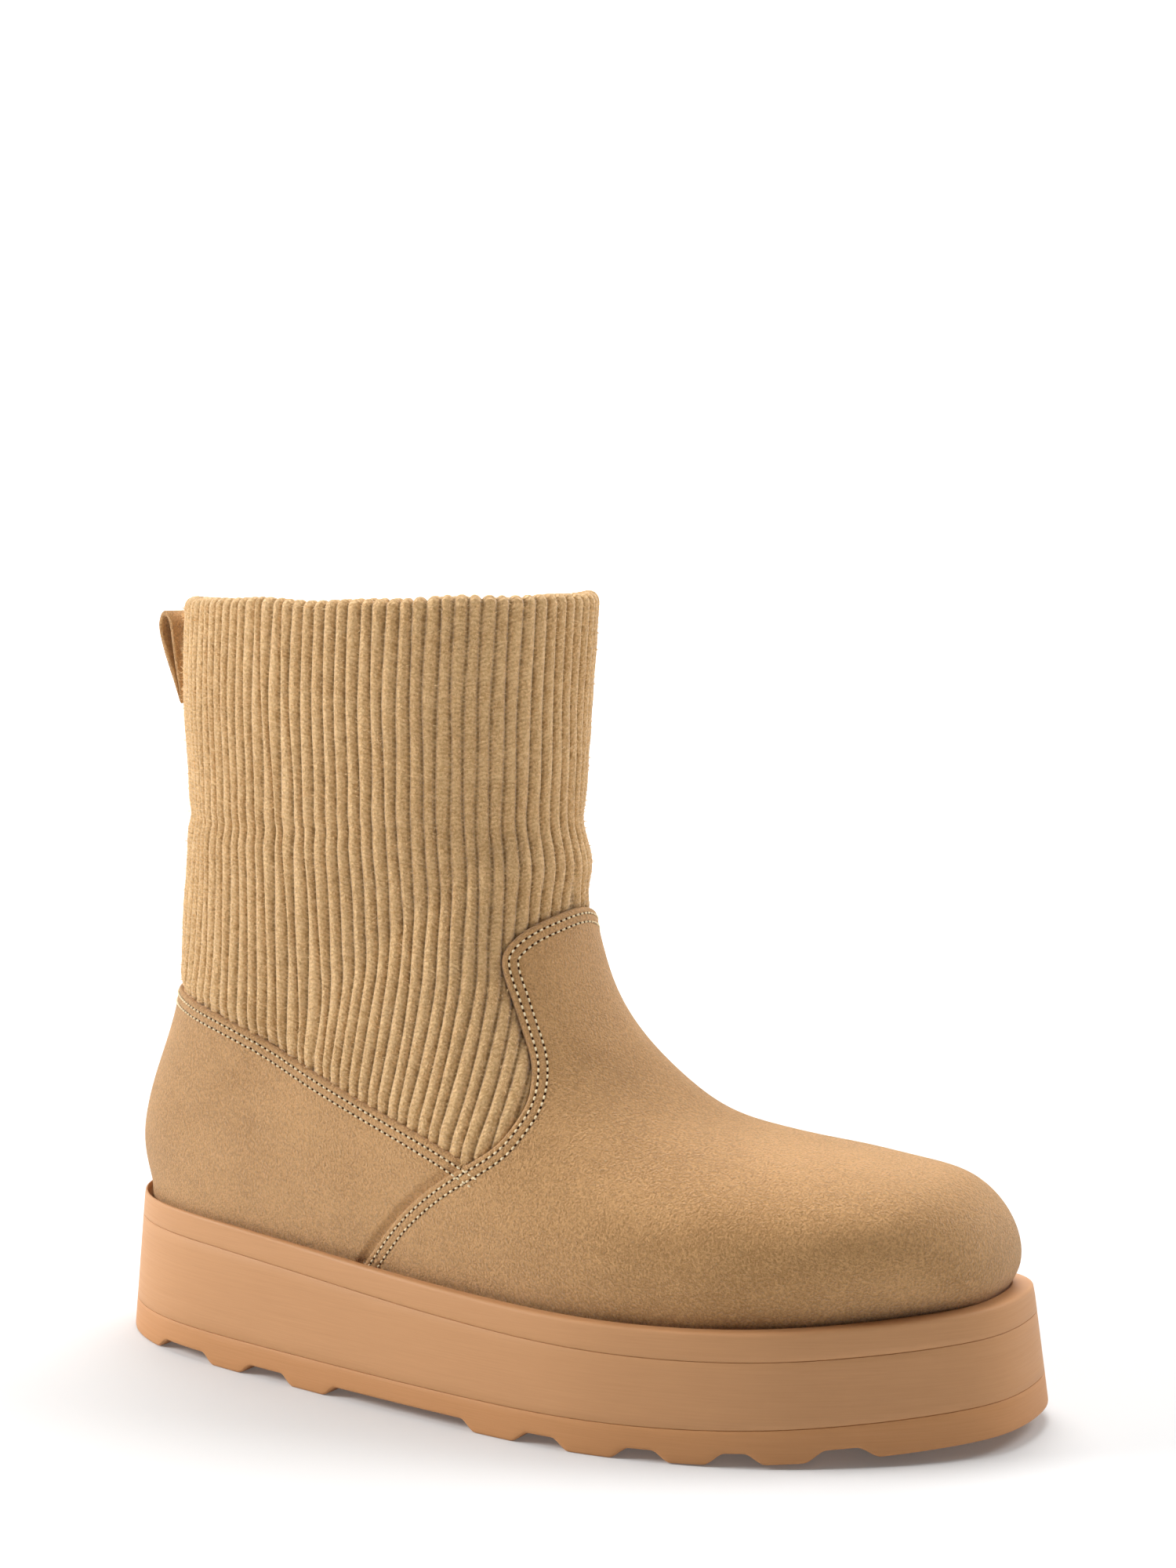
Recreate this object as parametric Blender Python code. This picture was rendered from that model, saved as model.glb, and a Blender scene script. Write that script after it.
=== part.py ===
"""Right sweater boot on a thick flat sole: knit bootie, suede vamp and heel quarter, back stay, pull loop.

Metres, +Z up, toe toward +X, the wearer's left (the inner side of a right foot) toward +Y.
The origin is on the floor under the middle of the sole.
"""
import bmesh
import bpy
import numpy as np

# Driving sizes.
LENGTH = 0.285          # sole outline, heel to toe
BALL_WIDTH = 0.104      # sole outline across the ball of the foot
HEIGHT = 0.2235         # floor to collar edge
WALL = 0.0024           # knit bootie wall
COLLAR_WALL = 0.0034    # folded collar edge
SUEDE = 0.0014          # suede panel thickness
GAP = 0.0003            # play between flat pieces that touch
CURVED_GAP = 0.00068    # play between curved skins
FLARE = 0.0020          # the sole's rim stands in from the outline by this much
SPREAD = 0.0020         # the sole's foot stands out from the outline by this much
LIP_HEEL = 0.0006       # width of the sole's top lip behind the heel
LIP_TOE = 0.0058        # width of the sole's top lip in front of the toe
RECESS = 0.0022         # the bootie sits this deep inside the lip
SUNK_LOW = 0.110        # below this height the knit lies one suede thickness deeper
SUNK_HIGH = 0.145       # above this height it lies on the measured outside
SEAT_PLAY_HEEL = 0.0014  # room between lip and upper behind the heel
SEAT_PLAY = 0.0022      # room between lip and upper round the rest of the foot
WELT_DEPTH = 0.0072     # top sole layer
OUTSOLE_HEEL = 0.0096   # bottom sole layer, lugs included, at the heel
OUTSOLE_TOE = 0.0088    # the same in front of the ball
LUG_DEPTH = 0.0029
LUG_SLOPE = 0.0042      # run of a lug's sloping flank along the sole
TOE_SPRING = 0.0050     # rise of the toe tip off the floor
SPRING_START = 0.69     # share of the length where the toe begins to rise
HEEL_SHARE = 0.25       # share of the length that counts as the heel
INSOLE_THICKNESS = 0.0040
INSOLE_ROOM = 0.0018    # play between insole and knit
RIM_EDGE = 0.0005       # bevel of the sole's top edge
FOOT_EDGE = 0.0006      # bevel of the sole's bottom edge
FOLD_DEPTH = 0.0014     # the collar's fold is rounded over this height
STAY_WIDTH = 0.016
STAY_ROWS = (18.32, 20.96)  # lower and upper end of the back stay, as places in SECTIONS
LOOP_WIDTH = 0.013

# Sole outline seen from above, heel first, then the outer side, the toe and the inner side.
# Columns: along (share of LENGTH), across (share of BALL_WIDTH, plus is the inner side).
OUTLINE = (
    (0.000, -0.010),
    (0.014, -0.154),
    (0.046, -0.262),
    (0.105, -0.355),
    (0.200, -0.416),
    (0.312, -0.452),
    (0.428, -0.484),
    (0.547, -0.508),
    (0.653, -0.506),
    (0.744, -0.456),
    (0.828, -0.368),
    (0.898, -0.245),
    (0.958, -0.101),
    (0.991, 0.024),
    (1.000, 0.173),
    (0.986, 0.336),
    (0.947, 0.433),
    (0.884, 0.479),
    (0.789, 0.488),
    (0.684, 0.471),
    (0.579, 0.433),
    (0.456, 0.390),
    (0.333, 0.367),
    (0.211, 0.365),
    (0.116, 0.337),
    (0.049, 0.253),
    (0.015, 0.144),
)

# Height of the sole's rim over the floor without the toe's rise.
# Columns: along (share of LENGTH), rim (share of LENGTH).
STACK = (
    (0.00, 0.1488),
    (0.15, 0.1480),
    (0.30, 0.1400),
    (0.45, 0.1295),
    (0.62, 0.1207),
    (0.80, 0.1165),
    (1.00, 0.1147),
)

# Lugs of the tread. Columns: start, stop (share of LENGTH).
LUGS = (
    (-0.050, 0.106),
    (0.197, 0.238),
    (0.312, 0.356),
    (0.547, 0.592),
    (0.650, 0.693),
    (0.746, 0.778),
    (0.826, 0.858),
    (0.912, 1.050),
)

# Slanting sections of the bootie, from the toe over the instep and round the heel up to the collar.
# Each is an arch that ends on the base line; from row HEEL_ROW on it is a ring that closes on the back seam.
# Columns: base (share of the base line from toe to heel), back_x and front_x (share of LENGTH),
# back_z and front_z (share of HEIGHT), ridge (offset of the crest, share of BALL_WIDTH),
# wide (least half width, share of BALL_WIDTH), widest (share of the way up where it is widest),
# front_full and back_full (squareness of the two ends, 2 is an ellipse).
SECTIONS = (
    (0.000, 0.000, 0.000, 0.970, 0.163, 0.160, 0.020, 0.30, 2.2, 2.2),
    (0.030, 0.000, 0.000, 0.982, 0.192, 0.160, 0.080, 0.30, 2.2, 2.2),
    (0.070, 0.000, 0.000, 0.981, 0.228, 0.160, 0.130, 0.30, 2.3, 2.2),
    (0.115, 0.000, 0.000, 0.965, 0.271, 0.150, 0.170, 0.30, 2.4, 2.2),
    (0.165, 0.000, 0.000, 0.933, 0.304, 0.135, 0.190, 0.30, 2.4, 2.2),
    (0.215, 0.000, 0.000, 0.885, 0.319, 0.115, 0.210, 0.30, 2.4, 2.2),
    (0.270, 0.000, 0.000, 0.823, 0.331, 0.086, 0.230, 0.30, 2.3, 2.2),
    (0.330, 0.000, 0.000, 0.753, 0.343, 0.058, 0.250, 0.30, 2.2, 2.2),
    (0.395, 0.000, 0.000, 0.684, 0.368, 0.038, 0.270, 0.30, 2.1, 2.2),
    (0.465, 0.000, 0.000, 0.625, 0.421, 0.028, 0.290, 0.30, 2.0, 2.2),
    (0.540, 0.000, 0.000, 0.580, 0.490, 0.018, 0.310, 0.30, 2.0, 2.2),
    (0.620, 0.000, 0.000, 0.556, 0.562, 0.010, 0.330, 0.32, 2.0, 2.2),
    (0.705, 0.000, 0.000, 0.545, 0.626, 0.000, 0.345, 0.34, 2.0, 2.2),
    (0.790, 0.000, 0.000, 0.543, 0.682, 0.000, 0.355, 0.38, 2.1, 2.3),
    (0.880, 0.000, 0.000, 0.541, 0.725, 0.000, 0.362, 0.42, 2.2, 2.3),
    (1.000, 0.013, 0.182, 0.542, 0.758, 0.000, 0.366, 0.46, 2.3, 2.3),
    (1.000, 0.006, 0.251, 0.544, 0.788, 0.000, 0.366, 0.48, 2.3, 2.3),
    (1.000, 0.032, 0.349, 0.545, 0.825, 0.000, 0.367, 0.50, 2.3, 2.3),
    (1.000, 0.057, 0.447, 0.546, 0.863, 0.000, 0.370, 0.52, 2.3, 2.2),
    (1.000, 0.060, 0.564, 0.548, 0.899, 0.000, 0.374, 0.53, 2.3, 2.0),
    (1.000, 0.074, 0.705, 0.550, 0.934, 0.000, 0.382, 0.54, 2.3, 2.0),
    (1.000, 0.063, 0.855, 0.552, 0.967, 0.000, 0.391, 0.55, 2.3, 1.85),
    (1.000, 0.067, 1.000, 0.554, 1.000, 0.000, 0.393, 0.55, 2.3, 1.8),
)
HEEL_ROW = 15
LAST_ROW = 22
UPPER_COLUMNS = 39

# Back edge of the vamp. Columns: side (0 is the crest, 1 the base line), row (place among SECTIONS).
VAMP_EDGE = (
    (0.000, 11.68),
    (0.080, 11.72),
    (0.130, 11.80),
    (0.180, 11.84),
    (0.212, 11.76),
    (0.235, 11.45),
    (0.255, 10.98),
    (0.283, 10.48),
    (0.317, 10.08),
    (0.367, 9.82),
    (0.425, 9.68),
    (0.490, 9.66),
    (0.555, 9.72),
    (0.620, 9.92),
    (0.690, 10.20),
    (0.767, 10.46),
    (0.840, 10.64),
    (0.920, 10.76),
    (1.000, 10.85),
)

# Top edge of the heel quarter in side view, from the back seam forward and down to the vamp.
# Columns: along (share of LENGTH), height (share of HEIGHT).
QUARTER_TOP = (
    (0.000, 0.478),
    (0.075, 0.475),
    (0.210, 0.446),
    (0.281, 0.415),
    (0.350, 0.381),
    (0.415, 0.347),
    (0.460, 0.323),
    (0.505, 0.298),
    (0.600, 0.240),
)
PANEL_GAP_ROWS = 0.025  # play between vamp and quarter, in rows of SECTIONS

# Pull loop in side view. Columns: outer_x, outer_z, inner_x, inner_z (shares of LENGTH and HEIGHT).
LOOP = (
    (0.0598, 0.853, 0.0582, 0.872),
    (0.0500, 0.884, 0.0545, 0.893),
    (0.0385, 0.925, 0.0440, 0.928),
    (0.0315, 0.955, 0.0368, 0.955),
    (0.0308, 0.972, 0.0362, 0.968),
    (0.0348, 0.984, 0.0378, 0.976),
    (0.0410, 0.987, 0.0405, 0.979),
    (0.0470, 0.983, 0.0430, 0.976),
    (0.0510, 0.970, 0.0460, 0.966),
    (0.0530, 0.950, 0.0482, 0.948),
    (0.0570, 0.915, 0.0522, 0.912),
    (0.0606, 0.880, 0.0560, 0.886),
)


def spline(knots, values, at):
    """Return a natural cubic spline through the rows of values, read at the given places."""
    knots = np.asarray(knots, float)
    values = np.asarray(values, float).reshape(len(knots), -1)
    count = len(knots)
    steps = np.diff(knots)
    matrix = np.eye(count)
    right = np.zeros_like(values)
    for i in range(1, count - 1):
        matrix[i, i - 1:i + 2] = steps[i - 1], 2.0 * (steps[i - 1] + steps[i]), steps[i]
        right[i] = 6.0 * ((values[i + 1] - values[i]) / steps[i] - (values[i] - values[i - 1]) / steps[i - 1])
    bend = np.linalg.solve(matrix, right)
    at = np.clip(np.atleast_1d(np.asarray(at, float)), knots[0], knots[-1])
    i = np.clip(np.searchsorted(knots, at, side="right") - 1, 0, count - 2)
    after = (at - knots[i])[:, None]
    before = (knots[i + 1] - at)[:, None]
    step = steps[i][:, None]
    curve = (bend[i] * before ** 3 + bend[i + 1] * after ** 3) / (6.0 * step)
    curve += (values[i] / step - bend[i] * step / 6.0) * before
    curve += (values[i + 1] / step - bend[i + 1] * step / 6.0) * after
    return curve


def along(path):
    """Return the share of the path's length at each of its points."""
    reach = np.concatenate([[0.0], np.cumsum(np.linalg.norm(np.diff(path, axis=0), axis=1))])
    return reach / reach[-1]


def toe_rise(x):
    """Return how far the sole's underside is off the floor at x from the heel."""
    return TOE_SPRING * np.clip((np.asarray(x) / LENGTH - SPRING_START) / (1.0 - SPRING_START), 0.0, 1.0) ** 2


def rim_height(x):
    """Return the height of the sole's top edge at x from the heel."""
    table = np.array(STACK)
    share = np.asarray(x, float) / LENGTH
    return spline(table[:, 0], table[:, 1], share)[:, 0] * LENGTH + toe_rise(x)


def seat_height(x):
    """Return the height at which bootie and insole stand inside the lip."""
    return rim_height(x) - RECESS + GAP


def outline(inset, count=960):
    """Return the closed sole outline moved inward; inset is a length or a function of x."""
    points = np.array(OUTLINE) * (LENGTH, BALL_WIDTH)
    wrapped = np.vstack([points[-4:], points, points[:5]])
    reach = np.concatenate([[0.0], np.cumsum(np.linalg.norm(np.diff(wrapped, axis=0), axis=1))])
    places = np.linspace(reach[4], reach[4 + len(points)], count, endpoint=False)
    ring = spline(reach, wrapped, places)
    tangent = np.roll(ring, -1, 0) - np.roll(ring, 1, 0)
    normal = np.stack([-tangent[:, 1], tangent[:, 0]], 1)
    normal /= np.linalg.norm(normal, axis=1)[:, None]
    depth = np.broadcast_to(inset(ring[:, 0]) if callable(inset) else inset, (count,))
    return ring + normal * depth[:, None]


def lip(x):
    """Return the width of the sole's top lip at x from the heel."""
    share = np.clip(np.asarray(x) / LENGTH, 0.0, 1.0)
    return LIP_HEEL + (LIP_TOE - LIP_HEEL) * share


def seat_inset(x):
    """Return how far inside the outline the upper stands on the sole at x from the heel."""
    share = np.clip(np.asarray(x) / LENGTH / HEEL_SHARE, 0.0, 1.0)
    return FLARE + lip(x) + SEAT_PLAY_HEEL + (SEAT_PLAY - SEAT_PLAY_HEEL) * share


def halves(ring):
    """Return the outer and the inner half of a closed outline, each from toe to heel."""
    ring = np.roll(ring, -int(np.argmin(ring[:, 0])), 0)
    toe = int(np.argmax(ring[:, 0]))
    return ring[:toe + 1][::-1], np.vstack([ring[toe:], ring[:1]])


MIDDLE = np.array([LENGTH / 2.0, (outline(0.0)[:, 1].min() + outline(0.0)[:, 1].max()) / 2.0, 0.0])


def stations(count, extra=()):
    """Return shares of the length, closer together at both ends, with the extra ones put in."""
    even = (1.0 - np.cos(np.linspace(0.0, np.pi, count))) / 2.0
    kept = [s for s in even if all(abs(s - e) > 0.006 for e in extra)]
    return np.array(sorted(kept + list(extra)))


def level(shares, inset, height):
    """Return a ring at the given stations: outer side heel to toe, then back on the inner side."""
    outer, inner = halves(outline(inset))
    x = outer[-1, 0] + shares * (outer[0, 0] - outer[-1, 0])
    left = np.interp(x, outer[::-1, 0], outer[::-1, 1])
    right = np.interp(x, inner[::-1, 0], inner[::-1, 1])
    x = np.concatenate([x, x[-2:0:-1]])
    y = np.concatenate([left, right[-2:0:-1]])
    return np.column_stack([x, y, height(x)])


def make(name, points, faces, colour):
    """Make one named mesh object with one plain material."""
    mesh = bpy.data.meshes.new(name)
    mesh.from_pydata([tuple(p) for p in np.asarray(points) - MIDDLE], [], [tuple(f) for f in faces])
    shape = bmesh.new()
    shape.from_mesh(mesh)
    bmesh.ops.recalc_face_normals(shape, faces=shape.faces)
    shape.to_mesh(mesh)
    shape.free()
    mesh.update()
    thing = bpy.data.objects.new(name, mesh)
    bpy.context.scene.collection.objects.link(thing)
    material = bpy.data.materials.new(colour[0])
    material.diffuse_color = (*colour[1], 1.0)
    mesh.materials.append(material)
    return thing


def clean(loop):
    """Return a face without repeated corners, or nothing when fewer than three are left."""
    kept = [int(v) for k, v in enumerate(loop) if v != loop[k - 1]]
    return kept if len(set(kept)) == len(kept) and len(kept) > 2 else None


def band(first, second):
    """Return the faces between two index rows of equal length."""
    faces = [clean((first[k], first[k + 1], second[k + 1], second[k])) for k in range(len(first) - 1)]
    return [face for face in faces if face]


def stack(name, rings, colour):
    """Make a solid from level rings laid one after another, closed at both ends by strips across."""
    size = len(rings[0])
    last = size // 2
    faces = []
    for k in range(len(rings) - 1):
        row = k * size + np.append(np.arange(size), 0)
        faces += band(row, row + size)
    for start, flip in ((0, True), ((len(rings) - 1) * size, False)):
        for k in range(last):
            loop = clean((start + k, start + k + 1, start + (size - k - 1) % size, start + (size - k) % size))
            if loop:
                faces.append(loop[::-1] if flip else loop)
    return make(name, np.vstack(rings), faces, colour)


def section(row, base_rings):
    """Return one slanting section of the bootie's outside, from the outer base over the crest to the inner."""
    table = np.array(SECTIONS)
    places = np.arange(len(table))
    values = spline(places, table, row)[0]
    front_x, front_z = values[3] * LENGTH, values[4] * HEIGHT
    ridge, wide = values[5] * BALL_WIDTH, values[6] * BALL_WIDTH
    widest, front_full, back_full = values[7], values[8], values[9]
    toe = base_rings[0][1][0]
    front_x += max(0.0, 1.0 - row) * (toe[0] - table[0, 3] * LENGTH)
    front_z += max(0.0, 1.0 - row) * (seat_height(toe[0])[0] - table[0, 4] * HEIGHT)
    sides = []
    for sign, (shares, path) in zip((-1.0, 1.0), base_rings):
        if row < HEEL_ROW:
            share = np.interp(row, places, table[:, 0])
            end = np.array([np.interp(share, shares, path[:, 0]), np.interp(share, shares, path[:, 1])])
            end_x, end_y, end_z = end[0], end[1], seat_height(end[0])[0]
            half = max((end_y - ridge) * sign, 1e-6)
        else:
            back = spline(places[HEEL_ROW:], table[HEEL_ROW:, 1:3], row)[0] * (LENGTH, HEIGHT)
            fade = max(0.0, 1.0 - (row - HEEL_ROW))
            heel = base_rings[0][1][-1]
            end_x = back[0] + fade * (heel[0] - table[HEEL_ROW, 1] * LENGTH)
            end_z = back[1] + fade * (seat_height(heel[0])[0] - table[HEEL_ROW, 2] * HEIGHT)
            end_y, half = heel[1], 1e-6
        width = (wide ** 8 + (1.03 * half) ** 8) ** 0.125
        closed = min(half / width, 0.999)
        reach = widest / (1.0 - closed ** back_full) ** (1.0 / back_full)
        turn = np.linspace(np.pi / 2.0, 0.0, 90)
        up = widest + (1.0 - widest) * np.sin(turn) ** (2.0 / front_full)
        out = width * np.cos(turn) ** (2.0 / front_full)
        turn = np.linspace(0.0, np.arccos(closed ** (back_full / 2.0)), 90)[1:]
        up = np.concatenate([up, widest - reach * np.sin(turn) ** (2.0 / back_full)])
        out = np.concatenate([out, width * np.cos(turn) ** (2.0 / back_full)])
        path = np.column_stack([end_x + (front_x - end_x) * up, ridge + sign * out, end_z + (front_z - end_z) * up])
        path[-1] = end_x, end_y, end_z
        sides.append(path)
    return sides


class Skin:
    """The bootie's outside as a fine grid that can be read at any row and side."""

    def __init__(self, per_row=8, columns=64):
        base = [(along(path), path) for path in halves(outline(seat_inset))]
        self.rows = np.linspace(0, LAST_ROW, LAST_ROW * per_row + 1)
        self.columns = columns
        spread = np.linspace(0.0, 1.0, columns + 1)
        grid = np.zeros((len(self.rows), 2 * columns + 1, 3))
        for k, row in enumerate(self.rows):
            for side, path in enumerate(section(row, base)):
                even = np.stack([np.interp(spread, along(path), path[:, a]) for a in range(3)], 1)
                if side:
                    grid[k, columns:] = even
                else:
                    grid[k, :columns + 1] = even[::-1]
        self.grid = grid
        self.per_row = per_row
        self.normals = self.find_normals()

    def find_normals(self):
        """Return outward normals, averaged over the faces round each grid point."""
        grid = self.grid
        index = np.arange(grid.shape[0] * grid.shape[1]).reshape(grid.shape[:2])
        index[0] = index[0, 0]
        heel = HEEL_ROW * self.per_row
        index[heel:, -1] = index[heel:, 0]
        total = np.zeros((grid.shape[0] * grid.shape[1], 3))
        one, two = grid[1:, 1:] - grid[:-1, :-1], grid[1:, :-1] - grid[:-1, 1:]
        face = np.cross(one, two)
        for a, b in ((0, 0), (1, 0), (0, 1), (1, 1)):
            corner = index[a:a + face.shape[0], b:b + face.shape[1]]
            np.add.at(total, corner.ravel(), face.reshape(-1, 3))
        normals = total[index]
        normals /= np.maximum(np.linalg.norm(normals, axis=2), 1e-12)[..., None]
        middle = grid.mean((0, 1))
        if ((grid - middle) * normals).sum() < 0:
            normals = -normals
        return normals

    def read(self, row, side):
        """Return point and normal at row and side, where side runs from -1 (outer) to 1 (inner)."""
        row, side = np.broadcast_arrays(np.asarray(row, float), np.asarray(side, float))
        r = np.clip(row * self.per_row, 0, len(self.rows) - 1)
        c = np.clip((side + 1.0) * self.columns, 0, 2 * self.columns)
        r0 = np.minimum(r.astype(int), len(self.rows) - 2)
        c0 = np.minimum(c.astype(int), 2 * self.columns - 1)
        fr, fc = (r - r0)[..., None], (c - c0)[..., None]
        answers = []
        for field in (self.grid, self.normals):
            low = field[r0, c0] * (1 - fc) + field[r0, c0 + 1] * fc
            high = field[r0 + 1, c0] * (1 - fc) + field[r0 + 1, c0 + 1] * fc
            answers.append(low * (1 - fr) + high * fr)
        answers[1] /= np.linalg.norm(answers[1], axis=-1)[..., None]
        return answers

    def sunk(self, z):
        """Return how far the knit lies under the measured outside, where suede covers it."""
        share = np.clip((z - SUNK_LOW) / (SUNK_HIGH - SUNK_LOW), 0.0, 1.0)
        return (SUEDE + CURVED_GAP) * (1.0 - share * share * (3.0 - 2.0 * share))

    def shell(self, row, side, lift):
        """Return points at the given lift over the knit's outside."""
        point, normal = self.read(row, side)
        return point + normal * (lift - self.sunk(point[..., 2]))[..., None]


def edge_row(side):
    """Return the row of the vamp's back edge at a place between crest (0) and base line (1)."""
    table = np.array(VAMP_EDGE)
    return np.interp(np.abs(side), table[:, 0], table[:, 1])


def sit(points):
    """Set points on the sole's seat at their own x."""
    points[..., 2] = seat_height(points[..., 0].ravel()).reshape(points[..., 0].shape)


def foot_rows(count=29):
    """Return section places from toe to heel, spread between even rows and even steps of the base line."""
    table = np.array(SECTIONS)[:HEEL_ROW + 1]
    even = np.linspace(0.0, 1.0, count)
    return 0.3 * even * HEEL_ROW + 0.7 * np.interp(even, table[:, 0], np.arange(HEEL_ROW + 1))


def make_upper(skin, colour):
    """Make the knit bootie: one hollow solid, open at the collar and underneath."""
    foot = foot_rows()[:-1]
    shaft = HEEL_ROW + np.linspace(0.0, 1.0, 11) * (LAST_ROW - HEEL_ROW)
    rows = np.concatenate([foot, shaft])
    heel = len(foot)
    side = np.linspace(-1.0, 1.0, UPPER_COLUMNS)
    row_grid, side_grid = np.meshgrid(rows, side, indexing="ij")
    thick = WALL + (COLLAR_WALL - WALL) * np.clip((row_grid - LAST_ROW + 1.0), 0.0, 1.0)
    outer = skin.shell(row_grid, side_grid, np.zeros_like(row_grid))
    inner = skin.shell(row_grid, side_grid, -thick)
    for surface in (outer, inner):
        for column in (0, -1):
            sit(surface[:heel + 1, column])
        surface[0] = surface[0, 0]
        surface[heel:, -1] = surface[heel:, 0]
    crown = (outer[-1] + inner[-1]) / 2.0
    for surface in (outer, inner):
        surface[-1, :, 2] -= FOLD_DEPTH
    crown[:, 2] = HEIGHT
    count = outer.shape[0] * outer.shape[1]
    index = np.arange(count).reshape(outer.shape[:2])
    index[0] = index[0, 0]
    index[heel:, -1] = index[heel:, 0]
    crown_index = 2 * count + np.arange(len(side))
    crown_index[-1] = crown_index[0]
    faces = []
    for k in range(len(rows) - 1):
        faces += band(index[k + 1], index[k])
        faces += band(index[k] + count, index[k + 1] + count)
    faces += band(crown_index, index[-1])
    faces += band(index[-1] + count, crown_index)
    for column, flip in ((0, False), (-1, True)):
        edge = index[:heel + 1, column]
        faces += band(edge + count, edge) if flip else band(edge, edge + count)
    points = np.vstack([outer.reshape(-1, 3), inner.reshape(-1, 3), crown])
    return make("upper", *compact(points, faces), colour)


def compact(points, faces):
    """Drop points that no face uses."""
    used = np.unique(np.concatenate([np.array(face) for face in faces]))
    place = np.zeros(len(points), int)
    place[used] = np.arange(len(used))
    return points[used], [[int(place[v]) for v in face] for face in faces]


def make_panel(name, skin, rows, sides, pole, seated, colour):
    """Make a suede panel over the bootie between its two faces; seated marks edges that stand on the sole."""
    low = skin.shell(rows, sides, np.full_like(rows, CURVED_GAP))
    high = skin.shell(rows, sides, np.full_like(rows, CURVED_GAP + SUEDE))
    for surface in (low, high):
        for edge in seated:
            sit(surface[edge])
        if pole:
            surface[0] = surface[0, 0]
    count = low.shape[0] * low.shape[1]
    index = np.arange(count).reshape(low.shape[:2])
    if pole:
        index[0] = index[0, 0]
    faces = []
    for k in range(low.shape[0] - 1):
        faces += band(index[k], index[k + 1])
        faces += band(index[k + 1] + count, index[k] + count)
    for edge, flip in ((index[:, 0], True), (index[:, -1], False), (index[0], False), (index[-1], True)):
        faces += band(edge + count, edge) if flip else band(edge, edge + count)
    return make(name, *compact(np.vstack([low.reshape(-1, 3), high.reshape(-1, 3)]), faces), colour)


def make_vamp(skin, colour):
    """Make the vamp: toe and instep up to the curved seam."""
    side = np.linspace(-1.0, 1.0, UPPER_COLUMNS)
    full = foot_rows()
    full = full[full < 9.3]
    limit = edge_row(side)
    rows = [np.full_like(side, r) for r in full]
    for share in (0.25, 0.5, 0.75, 1.0):
        rows.append(full[-1] + (limit - full[-1]) * share)
    rows = np.array(rows)
    sides = np.broadcast_to(side, rows.shape).copy()
    seated = [(slice(None), 0), (slice(None), -1)]
    return make_panel("vamp", skin, rows, sides, True, seated, colour)


def quarter_lines(skin, count, climbs):
    """Return rows and sides of lines that rise from the base line to the quarter's slanting top edge."""
    table = np.array(QUARTER_TOP) * (LENGTH, HEIGHT)
    share = 1.0 - np.linspace(1.0, 0.0, count) ** 1.3
    base_row, far_row, far_side = VAMP_EDGE[-1][1] + PANEL_GAP_ROWS, 21.5, 0.52
    climb = np.linspace(0.0, 1.0, 161)[:, None]
    side = 1.0 - climb * (1.0 - far_side) * (1.0 - share ** 5)[None]
    start = base_row + (HEEL_ROW - base_row) * share
    front_end = edge_row(far_side) + PANEL_GAP_ROWS
    stop = front_end + (far_row - front_end) * share ** 1.25
    row = start[None] + climb * (stop - start)[None]
    bend = edge_row(side) + PANEL_GAP_ROWS - (base_row + climb * (front_end - base_row))
    row = row + bend * ((1.0 - share) ** 3)[None]
    point = skin.read(row, side)[0]
    over = point[..., 2] - np.interp(point[..., 0], table[:, 0], table[:, 1])
    cut = np.array([climb[np.argmax(over[:, k] > 0.0), 0] for k in range(count)])
    steps = np.linspace(0.0, 1.0, climbs)[:, None] * cut[None]
    rows = np.stack([np.interp(steps[:, k], climb[:, 0], row[:, k]) for k in range(count)], 1)
    sides = np.stack([np.interp(steps[:, k], climb[:, 0], side[:, k]) for k in range(count)], 1)
    return rows, sides


def make_quarter(skin, colour):
    """Make the heel quarter: a suede band round the heel, cut off slanting toward the vamp."""
    count = 26
    rows, sides = quarter_lines(skin, count, 9)
    rows = np.concatenate([rows, rows[:, -2::-1]], 1)
    sides = np.concatenate([-sides, sides[:, -2::-1]], 1)
    return make_panel("heel_quarter", skin, rows, sides, False, [(0, slice(None))], colour)


def make_stay(skin, colour):
    """Make the back stay: a suede strip up the back seam, from the quarter to the pull loop."""
    half = STAY_WIDTH / 2.0
    rows, sides = [], []
    for row in np.linspace(*STAY_ROWS, 10):
        path = skin.read(np.full(120, row), np.linspace(-1.0, -0.85, 120))[0]
        reach = np.concatenate([[0.0], np.cumsum(np.linalg.norm(np.diff(path, axis=0), axis=1))])
        width = np.interp(half * np.array([1.0, 0.72, 0.40, 0.16, 0.0]), reach, np.linspace(0.0, 0.15, 120))
        rows.append(np.full(9, row))
        sides.append(np.concatenate([-1.0 + width, 1.0 - width[-2::-1]]))
    return make_panel("back_stay", skin, np.array(rows), np.array(sides), False, [], colour)


def make_loop(colour):
    """Make the pull loop: a flat band folded into a drop that stands off the back seam."""
    table = np.array(LOOP)
    outer = table[:, :2] * (LENGTH, HEIGHT)
    inner = table[:, 2:] * (LENGTH, HEIGHT)
    half = LOOP_WIDTH / 2.0
    middle = outline(0.0)[np.argmin(outline(0.0)[:, 0]), 1]
    rings = []
    for path, offset in ((outer, -half), (outer, half), (inner, half), (inner, -half)):
        rings.append(np.column_stack([path[:, 0], np.full(len(path), middle + offset), path[:, 1]]))
    size = len(table)
    faces = []
    for k in range(4):
        first = k * size + np.append(np.arange(size), 0)
        second = ((k + 1) % 4) * size + np.append(np.arange(size), 0)
        faces += band(first, second)
    return make("pull_loop", np.vstack(rings), faces, colour)


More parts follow.
